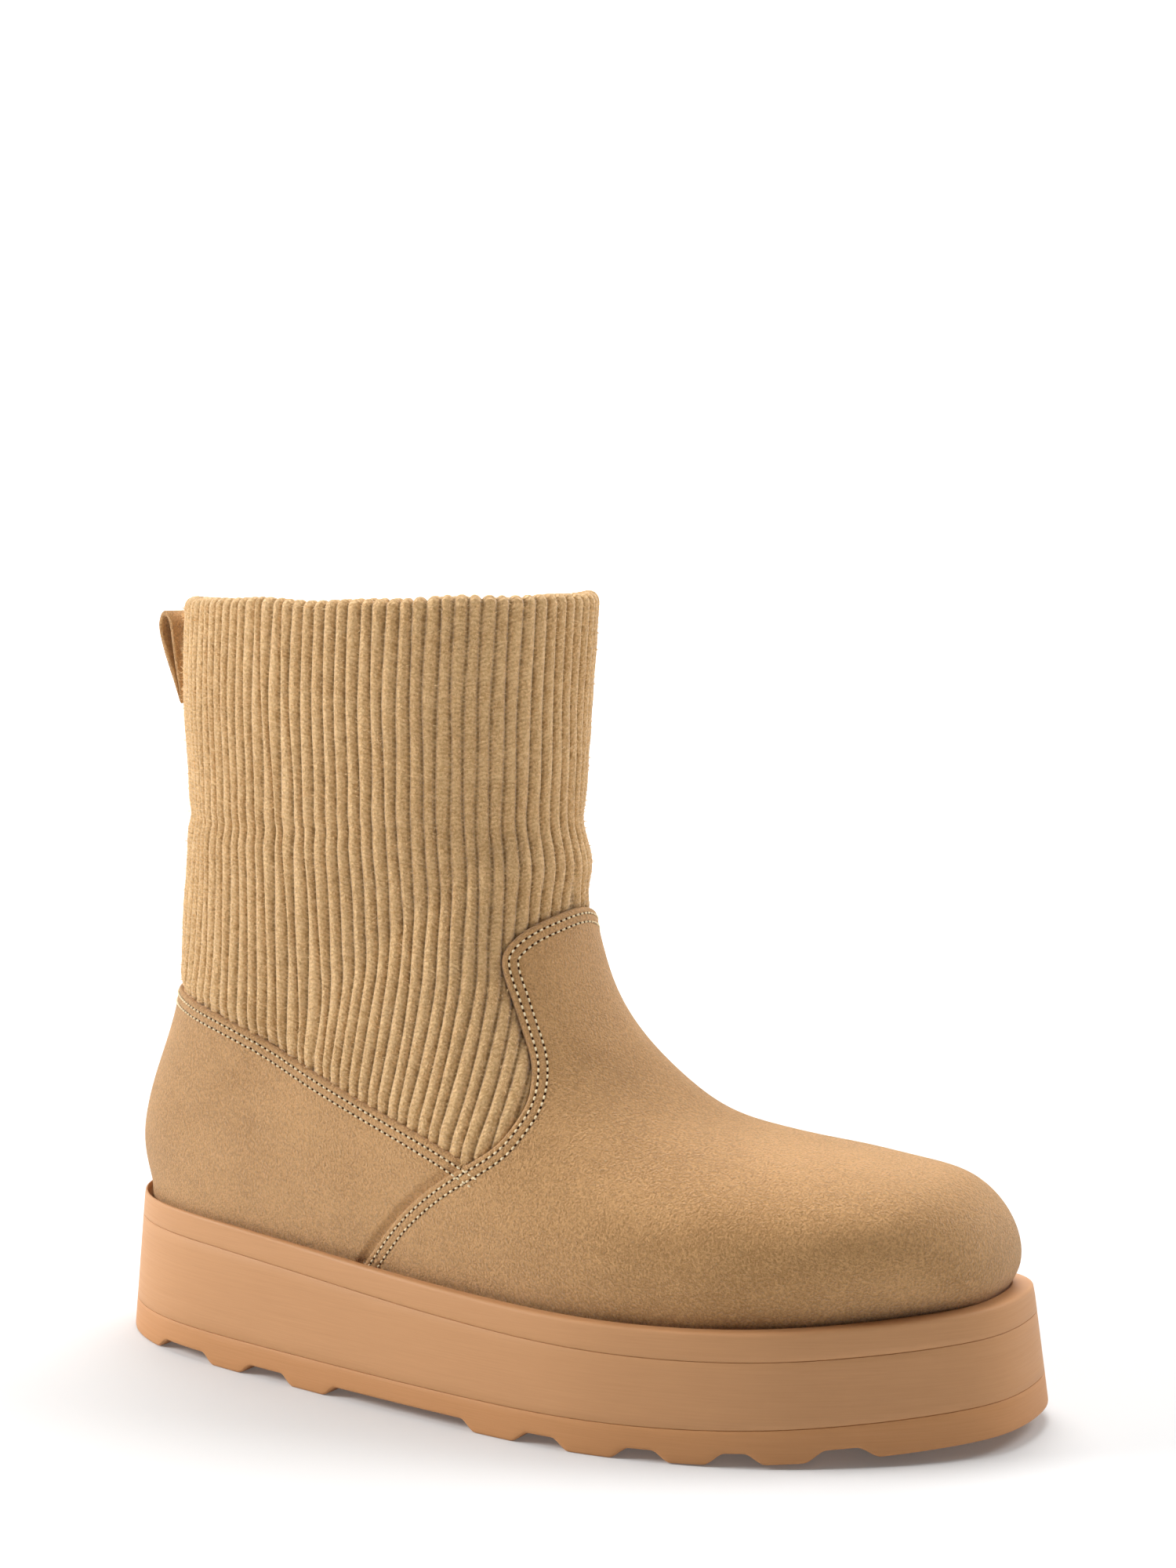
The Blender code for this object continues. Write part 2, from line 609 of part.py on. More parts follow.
def tread(x):
    """Return the height of the tread's face over the sole's plain underside."""
    share_slope = LUG_SLOPE / LENGTH
    depth = np.full(np.shape(x), LUG_DEPTH)
    for start, stop in LUGS:
        away = np.maximum(start - x / LENGTH, x / LENGTH - stop)
        depth = np.minimum(depth, LUG_DEPTH * np.clip(away / share_slope, 0.0, 1.0))
    return depth


def outsole_top(x):
    """Return the height of the parting line over the bottom sole layer."""
    share = np.clip(np.asarray(x) / LENGTH / 0.62, 0.0, 1.0)
    return OUTSOLE_HEEL + (OUTSOLE_TOE - OUTSOLE_HEEL) * share * share * (3.0 - 2.0 * share) + toe_rise(x)


def make_sole(colour):
    """Make the three sole layers and the insole."""
    slope = LUG_SLOPE / LENGTH
    corners = []
    for start, stop in LUGS:
        corners += [c for c in (start - slope, start, stop, stop + slope) if 0.0 < c < 1.0]
    fine = stations(30, corners)
    plain = stations(30)

    def lean(share):
        return (FLARE + SPREAD) * share - SPREAD

    rings = [
        level(fine, lean(0.0) + FOOT_EDGE, lambda x: toe_rise(x) + tread(x)),
        level(fine, lean(0.0), lambda x: toe_rise(x) + tread(x) + FOOT_EDGE),
        level(fine, lean(0.22), outsole_top),
    ]
    stack("outsole", rings, colour)
    rings = [
        level(plain, lean(0.22), lambda x: outsole_top(x) + GAP),
        level(plain, lean(0.80), lambda x: rim_height(x) - WELT_DEPTH - GAP),
    ]
    stack("midsole", rings, colour)
    rings = [
        level(plain, lean(0.80), lambda x: rim_height(x) - WELT_DEPTH),
        level(plain, lean(0.97), lambda x: rim_height(x) - RIM_EDGE),
        level(plain, FLARE + RIM_EDGE, rim_height),
        level(plain, lambda x: FLARE + lip(x), rim_height),
        level(plain, lambda x: FLARE + lip(x), lambda x: rim_height(x) - RECESS),
    ]
    stack("welt", rings, colour)


def make_insole(colour):
    """Make the insole that lies inside the bootie's open underside."""
    plain = stations(30)
    edge = SUEDE + CURVED_GAP + WALL + INSOLE_ROOM

    def inset(x):
        return seat_inset(x) + edge

    rings = [
        level(plain, inset, seat_height),
        level(plain, inset, lambda x: seat_height(x) + INSOLE_THICKNESS - RIM_EDGE),
        level(plain, lambda x: inset(x) + RIM_EDGE, lambda x: seat_height(x) + INSOLE_THICKNESS),
    ]
    stack("insole", rings, colour)


def main():
    """Clear the scene and make every piece."""
    for thing in list(bpy.data.objects):
        bpy.data.objects.remove(thing, do_unlink=True)
    rubber = ("gum_rubber", (0.72, 0.42, 0.22))
    suede = ("tan_suede", (0.60, 0.42, 0.24))
    knit = ("tan_knit", (0.74, 0.55, 0.34))
    felt = ("insole_felt", (0.62, 0.47, 0.32))
    skin = Skin()
    make_sole(rubber)
    make_insole(felt)
    make_upper(skin, knit)
    make_vamp(skin, suede)
    make_quarter(skin, suede)
    make_stay(skin, suede)
    make_loop(suede)


main()
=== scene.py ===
"""Looks of a right sweater boot: ribbed knit, suede panels and a layered gum sole, in a pale studio.

Metres, +Z up, toe toward +X, the inner side of a right foot toward +Y, origin on the floor under the middle
of the sole.
"""
import logging
import math
from dataclasses import dataclass, field
from enum import Enum

import bpy
import numpy as np
from mathutils import Matrix, Vector

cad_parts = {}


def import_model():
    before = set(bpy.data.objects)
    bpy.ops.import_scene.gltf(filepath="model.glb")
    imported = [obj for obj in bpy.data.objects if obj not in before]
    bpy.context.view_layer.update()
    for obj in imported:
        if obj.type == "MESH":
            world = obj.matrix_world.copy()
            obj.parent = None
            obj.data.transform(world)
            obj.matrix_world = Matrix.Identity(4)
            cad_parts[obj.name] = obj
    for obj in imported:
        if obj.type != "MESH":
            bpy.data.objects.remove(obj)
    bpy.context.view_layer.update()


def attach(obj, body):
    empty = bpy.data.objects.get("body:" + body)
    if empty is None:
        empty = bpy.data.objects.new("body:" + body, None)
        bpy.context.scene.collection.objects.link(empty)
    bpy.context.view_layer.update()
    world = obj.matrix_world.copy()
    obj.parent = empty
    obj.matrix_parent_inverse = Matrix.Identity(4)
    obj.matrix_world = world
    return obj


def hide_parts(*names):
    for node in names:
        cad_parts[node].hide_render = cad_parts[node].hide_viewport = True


LOG = logging.getLogger("sweater_boot")
MM = 0.001

OUTLINE = (
    (0.000, -0.010), (0.014, -0.154), (0.046, -0.262), (0.105, -0.355), (0.200, -0.416), (0.312, -0.452),
    (0.428, -0.484), (0.547, -0.508), (0.653, -0.506), (0.744, -0.456), (0.828, -0.368), (0.898, -0.245),
    (0.958, -0.101), (0.991, 0.024), (1.000, 0.173), (0.986, 0.336), (0.947, 0.433), (0.884, 0.479),
    (0.789, 0.488), (0.684, 0.471), (0.579, 0.433), (0.456, 0.390), (0.333, 0.367), (0.211, 0.365),
    (0.116, 0.337), (0.049, 0.253), (0.015, 0.144),
)
"""Sole seen from above: heel, outer side, toe and inner side, as shares of length and ball width."""

STACK = (
    (0.00, 0.1488), (0.15, 0.1480), (0.30, 0.1400), (0.45, 0.1295),
    (0.62, 0.1207), (0.80, 0.1165), (1.00, 0.1147),
)
"""Height of the sole's rim: share of the length, height as a share of the length."""

LUGS = (
    (-0.050, 0.106), (0.197, 0.238), (0.312, 0.356), (0.547, 0.592),
    (0.650, 0.693), (0.746, 0.778), (0.826, 0.858), (0.912, 1.050),
)
"""Lugs of the tread: start and stop as shares of the length."""

SECTIONS = (
    (0.000, 0.000, 0.000, 0.970, 0.163, 0.160, 0.020, 0.30, 2.2, 2.2),
    (0.030, 0.000, 0.000, 0.982, 0.192, 0.160, 0.080, 0.30, 2.2, 2.2),
    (0.070, 0.000, 0.000, 0.981, 0.228, 0.160, 0.130, 0.30, 2.3, 2.2),
    (0.115, 0.000, 0.000, 0.965, 0.271, 0.150, 0.170, 0.30, 2.4, 2.2),
    (0.165, 0.000, 0.000, 0.933, 0.304, 0.135, 0.190, 0.30, 2.4, 2.2),
    (0.215, 0.000, 0.000, 0.885, 0.319, 0.115, 0.210, 0.30, 2.4, 2.2),
    (0.270, 0.000, 0.000, 0.823, 0.331, 0.086, 0.230, 0.30, 2.3, 2.2),
    (0.330, 0.000, 0.000, 0.753, 0.343, 0.058, 0.250, 0.30, 2.2, 2.2),
    (0.395, 0.000, 0.000, 0.684, 0.368, 0.038, 0.270, 0.30, 2.1, 2.2),
    (0.465, 0.000, 0.000, 0.625, 0.421, 0.028, 0.290, 0.30, 2.0, 2.2),
    (0.540, 0.000, 0.000, 0.580, 0.490, 0.018, 0.310, 0.30, 2.0, 2.2),
    (0.620, 0.000, 0.000, 0.556, 0.562, 0.010, 0.330, 0.32, 2.0, 2.2),
    (0.705, 0.000, 0.000, 0.545, 0.626, 0.000, 0.345, 0.34, 2.0, 2.2),
    (0.790, 0.000, 0.000, 0.543, 0.682, 0.000, 0.355, 0.38, 2.1, 2.3),
    (0.880, 0.000, 0.000, 0.541, 0.725, 0.000, 0.362, 0.42, 2.2, 2.3),
    (1.000, 0.013, 0.182, 0.542, 0.758, 0.000, 0.366, 0.46, 2.3, 2.3),
    (1.000, 0.006, 0.251, 0.544, 0.788, 0.000, 0.366, 0.48, 2.3, 2.3),
    (1.000, 0.032, 0.349, 0.545, 0.825, 0.000, 0.367, 0.50, 2.3, 2.3),
    (1.000, 0.057, 0.447, 0.546, 0.863, 0.000, 0.370, 0.52, 2.3, 2.2),
    (1.000, 0.060, 0.564, 0.548, 0.899, 0.000, 0.374, 0.53, 2.3, 2.0),
    (1.000, 0.074, 0.705, 0.550, 0.934, 0.000, 0.382, 0.54, 2.3, 2.0),
    (1.000, 0.063, 0.855, 0.552, 0.967, 0.000, 0.391, 0.55, 2.3, 1.85),
    (1.000, 0.067, 1.000, 0.554, 1.000, 0.000, 0.393, 0.55, 2.3, 1.8),
)
"""Slanting sections of the bootie from toe to collar: base, back_x, back_z, front_x, front_z, ridge, wide,
widest, front_full, back_full."""

VAMP_EDGE = (
    (0.000, 11.68), (0.080, 11.72), (0.130, 11.80), (0.180, 11.84), (0.212, 11.76), (0.235, 11.45),
    (0.255, 10.98), (0.283, 10.48), (0.317, 10.08), (0.367, 9.82), (0.425, 9.68), (0.490, 9.66),
    (0.555, 9.72), (0.620, 9.92), (0.690, 10.20), (0.767, 10.46), (0.840, 10.64), (0.920, 10.76),
    (1.000, 10.85),
)
"""Back edge of the vamp: side (0 is the crest, 1 the base line) and row (place among SECTIONS)."""

QUARTER_TOP = (
    (0.000, 0.478), (0.075, 0.475), (0.210, 0.446), (0.281, 0.415), (0.350, 0.381),
    (0.415, 0.347), (0.460, 0.323), (0.505, 0.298), (0.600, 0.240),
)
"""Top edge of the heel quarter in side view: shares of length and height."""

LOOP = (
    (0.0598, 0.853, 0.0582, 0.872), (0.0500, 0.884, 0.0545, 0.893), (0.0385, 0.925, 0.0440, 0.928),
    (0.0315, 0.955, 0.0368, 0.955), (0.0308, 0.972, 0.0362, 0.968), (0.0348, 0.984, 0.0378, 0.976),
    (0.0410, 0.987, 0.0405, 0.979), (0.0470, 0.983, 0.0430, 0.976), (0.0510, 0.970, 0.0460, 0.966),
    (0.0530, 0.950, 0.0482, 0.948), (0.0570, 0.915, 0.0522, 0.912), (0.0606, 0.880, 0.0560, 0.886),
)
"""Pull loop in side view: outer_x, outer_z, inner_x, inner_z as shares of length and height."""

HEEL_ROW = 15
"""First of the SECTIONS that end at the back seam and not on the sole."""

LAST_ROW = 22
"""Last of the SECTIONS, at the collar."""


class Slot(Enum):
    """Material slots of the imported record."""

    RUBBER = "gum_rubber"
    FELT = "insole_felt"
    KNIT = "tan_knit"
    SUEDE = "tan_suede"


def spline(knots: np.ndarray, values: np.ndarray, at: np.ndarray) -> np.ndarray:
    """Read a natural cubic spline through rows of values.

    Args:
        knots: rising places of the rows.
        values: one row of numbers at each knot.
        at: places to read.

    Returns:
        One row of numbers for each place.
    """
    knots = np.asarray(knots, float)
    values = np.asarray(values, float).reshape(len(knots), -1)
    count = len(knots)
    steps = np.diff(knots)
    matrix = np.eye(count)
    right = np.zeros_like(values)
    for i in range(1, count - 1):
        matrix[i, i - 1:i + 2] = steps[i - 1], 2.0 * (steps[i - 1] + steps[i]), steps[i]
        right[i] = 6.0 * ((values[i + 1] - values[i]) / steps[i] - (values[i] - values[i - 1]) / steps[i - 1])
    bend = np.linalg.solve(matrix, right)
    at = np.clip(np.atleast_1d(np.asarray(at, float)), knots[0], knots[-1])
    i = np.clip(np.searchsorted(knots, at, side="right") - 1, 0, count - 2)
    after, before, step = (at - knots[i])[:, None], (knots[i + 1] - at)[:, None], steps[i][:, None]
    curve = (bend[i] * before ** 3 + bend[i + 1] * after ** 3) / (6.0 * step)
    curve += (values[i] / step - bend[i] * step / 6.0) * before
    curve += (values[i + 1] / step - bend[i + 1] * step / 6.0) * after
    return curve


def reach_along(path: np.ndarray) -> np.ndarray:
    """Return the length walked along a path at each of its points."""
    return np.concatenate([[0.0], np.cumsum(np.linalg.norm(np.diff(path, axis=0), axis=1))])


def smooth(low: float, high: float, value: np.ndarray) -> np.ndarray:
    """Return 0 below low, 1 above high and a soft step between."""
    share = np.clip((np.asarray(value, float) - low) / (high - low), 0.0, 1.0)
    return share * share * (3.0 - 2.0 * share)


def unit(vectors: np.ndarray) -> np.ndarray:
    """Return vectors scaled to length one."""
    return vectors / np.maximum(np.linalg.norm(vectors, axis=-1), 1e-12)[..., None]


def nearest(points: np.ndarray, path: np.ndarray, size: int = 4000) -> np.ndarray:
    """Measure from points to a dense path.

    Args:
        points: places in space.
        path: the path's points.
        size: how many points are worked out at once.

    Returns:
        Each point's distance to the closest point of the path.
    """
    flat = points.reshape(-1, 3)
    found = np.empty(len(flat))
    for start in range(0, len(flat), size):
        block = flat[start:start + size]
        square = (block ** 2).sum(1)[:, None] + (path ** 2).sum(1)[None] - 2.0 * block @ path.T
        found[start:start + size] = np.sqrt(np.maximum(square.min(1), 0.0))
    return found.reshape(points.shape[:-1])


def read_path(at: np.ndarray, reach: np.ndarray, path: np.ndarray) -> np.ndarray:
    """Return the points of a path at lengths along it; reach is the length at each of its own points."""
    return np.stack([np.interp(at, reach, path[:, a]) for a in range(3)], 1)


def bell(offset: np.ndarray, width: float) -> np.ndarray:
    """Return a bell curve: 1 where the offset is 0, about 0.37 where it is the width."""
    return np.exp(-(offset / width) ** 2)


def waves(places: np.ndarray, seed: int, count: int = 5) -> np.ndarray:
    """Make a slow, even wobble: a sum of sines with seeded speeds and phases.

    Args:
        places: where to read it.
        seed: seed of the random draws.
        count: how many sines.

    Returns:
        Numbers between about -1 and 1.
    """
    draw = np.random.default_rng(seed)
    total = np.zeros(np.shape(places))
    for _ in range(count):
        total += np.sin(places * draw.uniform(0.6, 2.4) + draw.uniform(0.0, 2.0 * math.pi))
    return total / count ** 0.5 / 1.2


@dataclass(frozen=True)
class BootSizes:
    """Driving sizes, the same as the solids have."""

    length: float = 0.285
    ball_width: float = 0.104
    height: float = 0.2235
    wall: float = 0.0024
    suede: float = 0.0014
    curved_gap: float = 0.00068
    flare: float = 0.0020
    spread: float = 0.0020
    lip_heel: float = 0.0006
    lip_toe: float = 0.0058
    recess: float = 0.0022
    seat_gap: float = 0.0003
    seat_play_heel: float = 0.0014
    seat_play: float = 0.0022
    heel_share: float = 0.25
    welt_depth: float = 0.0072
    outsole_heel: float = 0.0096
    outsole_toe: float = 0.0088
    lug_depth: float = 0.0029
    lug_slope: float = 0.0042
    toe_spring: float = 0.0050
    spring_start: float = 0.69
    insole_thickness: float = 0.0040
    sunk_low: float = 0.110
    sunk_high: float = 0.145


@dataclass
class Form:
    """The boot's measured outside and its sole line, as functions of place."""

    sizes: BootSizes = field(default_factory=BootSizes)
    per_row: int = 16
    columns: int = 96
    arch_points: int = 120

    def __post_init__(self) -> None:
        """Work out the surface grid, its normals and the sole's middle."""
        plain = self.ring(0.0)[0]
        across = (plain[:, 1].min() + plain[:, 1].max()) / 2.0
        self.middle = np.array([self.sizes.length / 2.0, across, 0.0])
        self.rows = np.linspace(0.0, LAST_ROW, LAST_ROW * self.per_row + 1)
        self.grid = self.find_grid() - self.middle
        self.normals = self.find_normals()

    def toe_rise(self, x: np.ndarray) -> np.ndarray:
        """Return how far the sole's underside is off the floor: a square law from the spring's start.

        Args:
            x: places from the heel.

        Returns:
            A height for each place.
        """
        s = self.sizes
        share = (np.asarray(x) / s.length - s.spring_start) / (1.0 - s.spring_start)
        return s.toe_spring * np.clip(share, 0.0, 1.0) ** 2

    def rim(self, x: np.ndarray) -> np.ndarray:
        """Return the height of the sole's top edge: the STACK curve and the toe spring together.

        Args:
            x: places from the heel.

        Returns:
            A height for each place.
        """
        table = np.array(STACK)
        share = np.asarray(x, float) / self.sizes.length
        curve = spline(table[:, 0], table[:, 1], share.ravel())[:, 0].reshape(np.shape(share))
        return curve * self.sizes.length + self.toe_rise(x)

    def seat(self, x: np.ndarray) -> np.ndarray:
        """Return the height at which bootie and insole stand inside the lip."""
        return self.rim(x) - self.sizes.recess + self.sizes.seat_gap

    def lip(self, x: np.ndarray) -> np.ndarray:
        """Return the width of the sole's top lip at x from the heel."""
        s = self.sizes
        return s.lip_heel + (s.lip_toe - s.lip_heel) * np.clip(np.asarray(x) / s.length, 0.0, 1.0)

    def seat_inset(self, x: np.ndarray) -> np.ndarray:
        """Return how far inside the outline the upper stands: flare, lip and a play that grows from the heel.

        Args:
            x: places from the heel.

        Returns:
            A length for each place.
        """
        s = self.sizes
        share = np.clip(np.asarray(x) / s.length / s.heel_share, 0.0, 1.0)
        return s.flare + self.lip(x) + s.seat_play_heel + (s.seat_play - s.seat_play_heel) * share

    def ring(self, inset: object, count: int = 960) -> tuple[np.ndarray, np.ndarray]:
        """Walk round the sole's outline at a distance inside it.

        Args:
            inset: a length or a function of x from the heel.
            count: how many points.

        Returns:
            The points and the inward normals, heel first and the outer side next.
        """
        points = np.array(OUTLINE) * (self.sizes.length, self.sizes.ball_width)
        wrapped = np.vstack([points[-4:], points, points[:5]])
        reach = reach_along(wrapped)
        places = np.linspace(reach[4], reach[4 + len(points)], count, endpoint=False)
        ring = spline(reach, wrapped, places)
        tangent = np.roll(ring, -1, 0) - np.roll(ring, 1, 0)
        normal = unit(np.stack([-tangent[:, 1], tangent[:, 0]], 1))
        depth = np.broadcast_to(inset(ring[:, 0]) if callable(inset) else inset, (count,))
        return ring + normal * depth[:, None], normal

    def middle_line(self, ring: np.ndarray, x: np.ndarray) -> np.ndarray:
        """Return the middle between the outer and the inner side of a ring round the sole.

        Args:
            ring: points round the outline, heel first.
            x: places from the heel.

        Returns:
            The middle across at each place.
        """
        toe = int(np.argmax(ring[:, 0]))
        outer, inner = ring[:toe + 1], ring[toe:][::-1]
        return (np.interp(x, outer[:, 0], outer[:, 1]) + np.interp(x, inner[:, 0], inner[:, 1])) / 2.0

    def halves(self) -> list[np.ndarray]:
        """Return the upper's base line on the outer and the inner side, each from toe to heel."""
        ring = self.ring(self.seat_inset)[0]
        ring = np.roll(ring, -int(np.argmin(ring[:, 0])), 0)
        toe = int(np.argmax(ring[:, 0]))
        return [ring[:toe + 1][::-1], np.vstack([ring[toe:], ring[:1]])]

    def section(self, row: float, base: list[np.ndarray]) -> list[np.ndarray]:
        """Work out one slanting section of the bootie.

        Args:
            row: place among SECTIONS.
            base: the base line of both sides, each from toe to heel.

        Returns:
            The outer and the inner half as paths from crest to base. Each arch is a superellipse above its
            widest place and another below it.
        """
        s = self.sizes
        table = np.array(SECTIONS)
        places = np.arange(len(table))
        values = spline(places, table, row)[0]
        front_x, front_z = values[3] * s.length, values[4] * s.height
        ridge, wide = values[5] * s.ball_width, values[6] * s.ball_width
        widest, front_full, back_full = values[7], values[8], values[9]
        toe = base[0][0]
        front_x += max(0.0, 1.0 - row) * (toe[0] - table[0, 3] * s.length)
        front_z += max(0.0, 1.0 - row) * (float(self.seat(toe[0])) - table[0, 4] * s.height)
        sides = []
        for sign, path in zip((-1.0, 1.0), base):
            if row < HEEL_ROW:
                share = np.interp(row, places, table[:, 0])
                reach = reach_along(path)
                end_x, end_y = (np.interp(share * reach[-1], reach, path[:, a]) for a in (0, 1))
                end_z = float(self.seat(end_x))
                half = max((end_y - ridge) * sign, 1e-6)
            else:
                back = spline(places[HEEL_ROW:], table[HEEL_ROW:, 1:3], row)[0] * (s.length, s.height)
                fade = max(0.0, 1.0 - (row - HEEL_ROW))
                heel = base[0][-1]
                end_x = back[0] + fade * (heel[0] - table[HEEL_ROW, 1] * s.length)
                end_z = back[1] + fade * (float(self.seat(heel[0])) - table[HEEL_ROW, 2] * s.height)
                end_y, half = heel[1], 1e-6
            width = (wide ** 8 + (1.03 * half) ** 8) ** 0.125
            closed = min(half / width, 0.999)
            reach = widest / (1.0 - closed ** back_full) ** (1.0 / back_full)
            turn = np.linspace(math.pi / 2.0, 0.0, self.arch_points)
            up = widest + (1.0 - widest) * np.sin(turn) ** (2.0 / front_full)
            out = width * np.cos(turn) ** (2.0 / front_full)
            turn = np.linspace(0.0, math.acos(closed ** (back_full / 2.0)), self.arch_points)[1:]
            up = np.concatenate([up, widest - reach * np.sin(turn) ** (2.0 / back_full)])
            out = np.concatenate([out, width * np.cos(turn) ** (2.0 / back_full)])
            along, rise = end_x + (front_x - end_x) * up, end_z + (front_z - end_z) * up
            path = np.column_stack([along, ridge + sign * out, rise])
            path[-1] = end_x, end_y, end_z
            sides.append(path)
        return sides

    def find_grid(self) -> np.ndarray:
        """Return the surface grid: sections, each in even steps from the outer base over the crest."""
        base = self.halves()
        spread = np.linspace(0.0, 1.0, self.columns + 1)
        grid = np.zeros((len(self.rows), 2 * self.columns + 1, 3))
        for k, row in enumerate(self.rows):
            for side, path in enumerate(self.section(row, base)):
                reach = reach_along(path)
                even = read_path(spread * reach[-1], reach, path)
                if side:
                    grid[k, self.columns:] = even
                else:
                    grid[k, :self.columns + 1] = even[::-1]
        return grid

    def find_normals(self) -> np.ndarray:
        """Return outward normals, summed over the faces round each grid point."""
        grid = self.grid
        index = np.arange(grid.shape[0] * grid.shape[1]).reshape(grid.shape[:2])
        index[0] = index[0, 0]
        index[HEEL_ROW * self.per_row:, -1] = index[HEEL_ROW * self.per_row:, 0]
        total = np.zeros((grid.shape[0] * grid.shape[1], 3))
        face = np.cross(grid[1:, 1:] - grid[:-1, :-1], grid[1:, :-1] - grid[:-1, 1:])
        for a, b in ((0, 0), (1, 0), (0, 1), (1, 1)):
            corner = index[a:a + face.shape[0], b:b + face.shape[1]]
            np.add.at(total, corner.ravel(), face.reshape(-1, 3))
        normals = unit(total[index])
        return -normals if ((grid - grid.mean((0, 1))) * normals).sum() < 0 else normals

    def read(self, row: np.ndarray, side: np.ndarray) -> tuple[np.ndarray, np.ndarray]:
        """Read the surface between its grid points.

        Args:
            row: places among SECTIONS.
            side: places across, from -1 (outer base or back seam) over 0 (crest) to 1.

        Returns:
            Points and outward normals.
        """
        row, side = np.broadcast_arrays(np.asarray(row, float), np.asarray(side, float))
        r = np.clip(row * self.per_row, 0, len(self.rows) - 1)
        c = np.clip((side + 1.0) * self.columns, 0, 2 * self.columns)
        r0 = np.minimum(r.astype(int), len(self.rows) - 2)
        c0 = np.minimum(c.astype(int), 2 * self.columns - 1)
        fr, fc = (r - r0)[..., None], (c - c0)[..., None]
        answers = []
        for surface in (self.grid, self.normals):
            low = surface[r0, c0] * (1 - fc) + surface[r0, c0 + 1] * fc
            high = surface[r0 + 1, c0] * (1 - fc) + surface[r0 + 1, c0 + 1] * fc
            answers.append(low * (1 - fr) + high * fr)
        return answers[0], unit(answers[1])

    def sunk(self, z: np.ndarray) -> np.ndarray:
        """Return how far the knit lies under the measured outside, where suede covers it."""
        s = self.sizes
        return (s.suede + s.curved_gap) * (1.0 - smooth(s.sunk_low, s.sunk_high, z))

    def girth(self, heights: np.ndarray, sign: float, count: int = 180) -> tuple[np.ndarray, np.ndarray]:
        """Find level outlines of one half of the bootie.

        Args:
            heights: heights over the floor.
            sign: -1 for the outer half, 1 for the inner.
            count: points on each outline.

        Returns:
            Rows and sides of each outline's points, from the back seam to the crest.
        """
        half = self.columns
        levels = self.grid[:, half::-1, 2] if sign < 0 else self.grid[:, half:, 2]
        heel = HEEL_ROW * self.per_row
        front = np.interp(heights, levels[:, 0], self.rows)
        back = np.interp(heights, levels[heel:, -1], self.rows[heel:])
        share = (1.0 - np.cos(np.linspace(0.0, math.pi, count))) / 2.0
        row = back[:, None] + (front - back)[:, None] * share
        place = np.clip(row * self.per_row, 0, len(self.rows) - 1.001)
        low = place.astype(int)
        part = (place - low)[..., None]
        z = levels[low] * (1.0 - part) + levels[low + 1] * part
        above = np.clip((z > heights[:, None, None]).sum(-1) - 1, 0, half - 1)[..., None]
        z0, z1 = np.take_along_axis(z, above, -1)[..., 0], np.take_along_axis(z, above + 1, -1)[..., 0]
        step = np.clip((z0 - heights[:, None]) / np.maximum(z0 - z1, 1e-9), 0.0, 1.0)
        side = sign * (above[..., 0] + step) / half
        side[:, 0], side[:, -1] = sign, 0.0
        return row, side


def vamp_edge(count: int = 1200) -> tuple[np.ndarray, np.ndarray]:
    """Read the vamp's back edge from the outer base over the crest to the inner base.

    Args:
        count: how many points.

    Returns:
        Rows and sides of the points.
    """
    table = np.array(VAMP_EDGE)
    full = np.vstack([table[:0:-1] * (-1.0, 1.0), table])
    reach = reach_along(full * (10.0, 1.0))
    curve = spline(reach, full, np.linspace(0.0, reach[-1], count))
    return curve[:, 1], np.clip(curve[:, 0], -1.0, 1.0)


def edge_row(side: np.ndarray) -> np.ndarray:
    """Read the vamp's back edge.

    Args:
        side: places across.

    Returns:
        The edge's row at each side.
    """
    rows, sides = vamp_edge()
    keep = sides >= 0.0
    return np.interp(np.abs(side), sides[keep], rows[keep])


def quarter_height(form: Form, x: np.ndarray) -> np.ndarray:
    """Read the heel quarter's top edge.

    Args:
        form: the boot's form.
        x: places in the row frame.

    Returns:
        A height for each place.
    """
    table = np.array(QUARTER_TOP)
    share = (np.asarray(x, float) + form.middle[0]) / form.sizes.length
    curve = spline(table[:, 0], table[:, 1], share.ravel())[:, 0].reshape(np.shape(share))
    return curve * form.sizes.height


def grid_faces(rows: int, columns: int, closed: bool = False) -> np.ndarray:
    """Join a grid's points, stored row by row, into four-cornered faces.

    Args:
        rows: how many rows.
        columns: points in a row.
        closed: joins the last column to the first.

    Returns:
        Four corner indices for each face.
    """
    index = np.arange(rows * columns).reshape(rows, columns)
    if closed:
        index = np.concatenate([index, index[:, :1]], 1)
    corners = (index[:-1, :-1], index[:-1, 1:], index[1:, 1:], index[1:, :-1])
    return np.stack([c.ravel() for c in corners], 1)


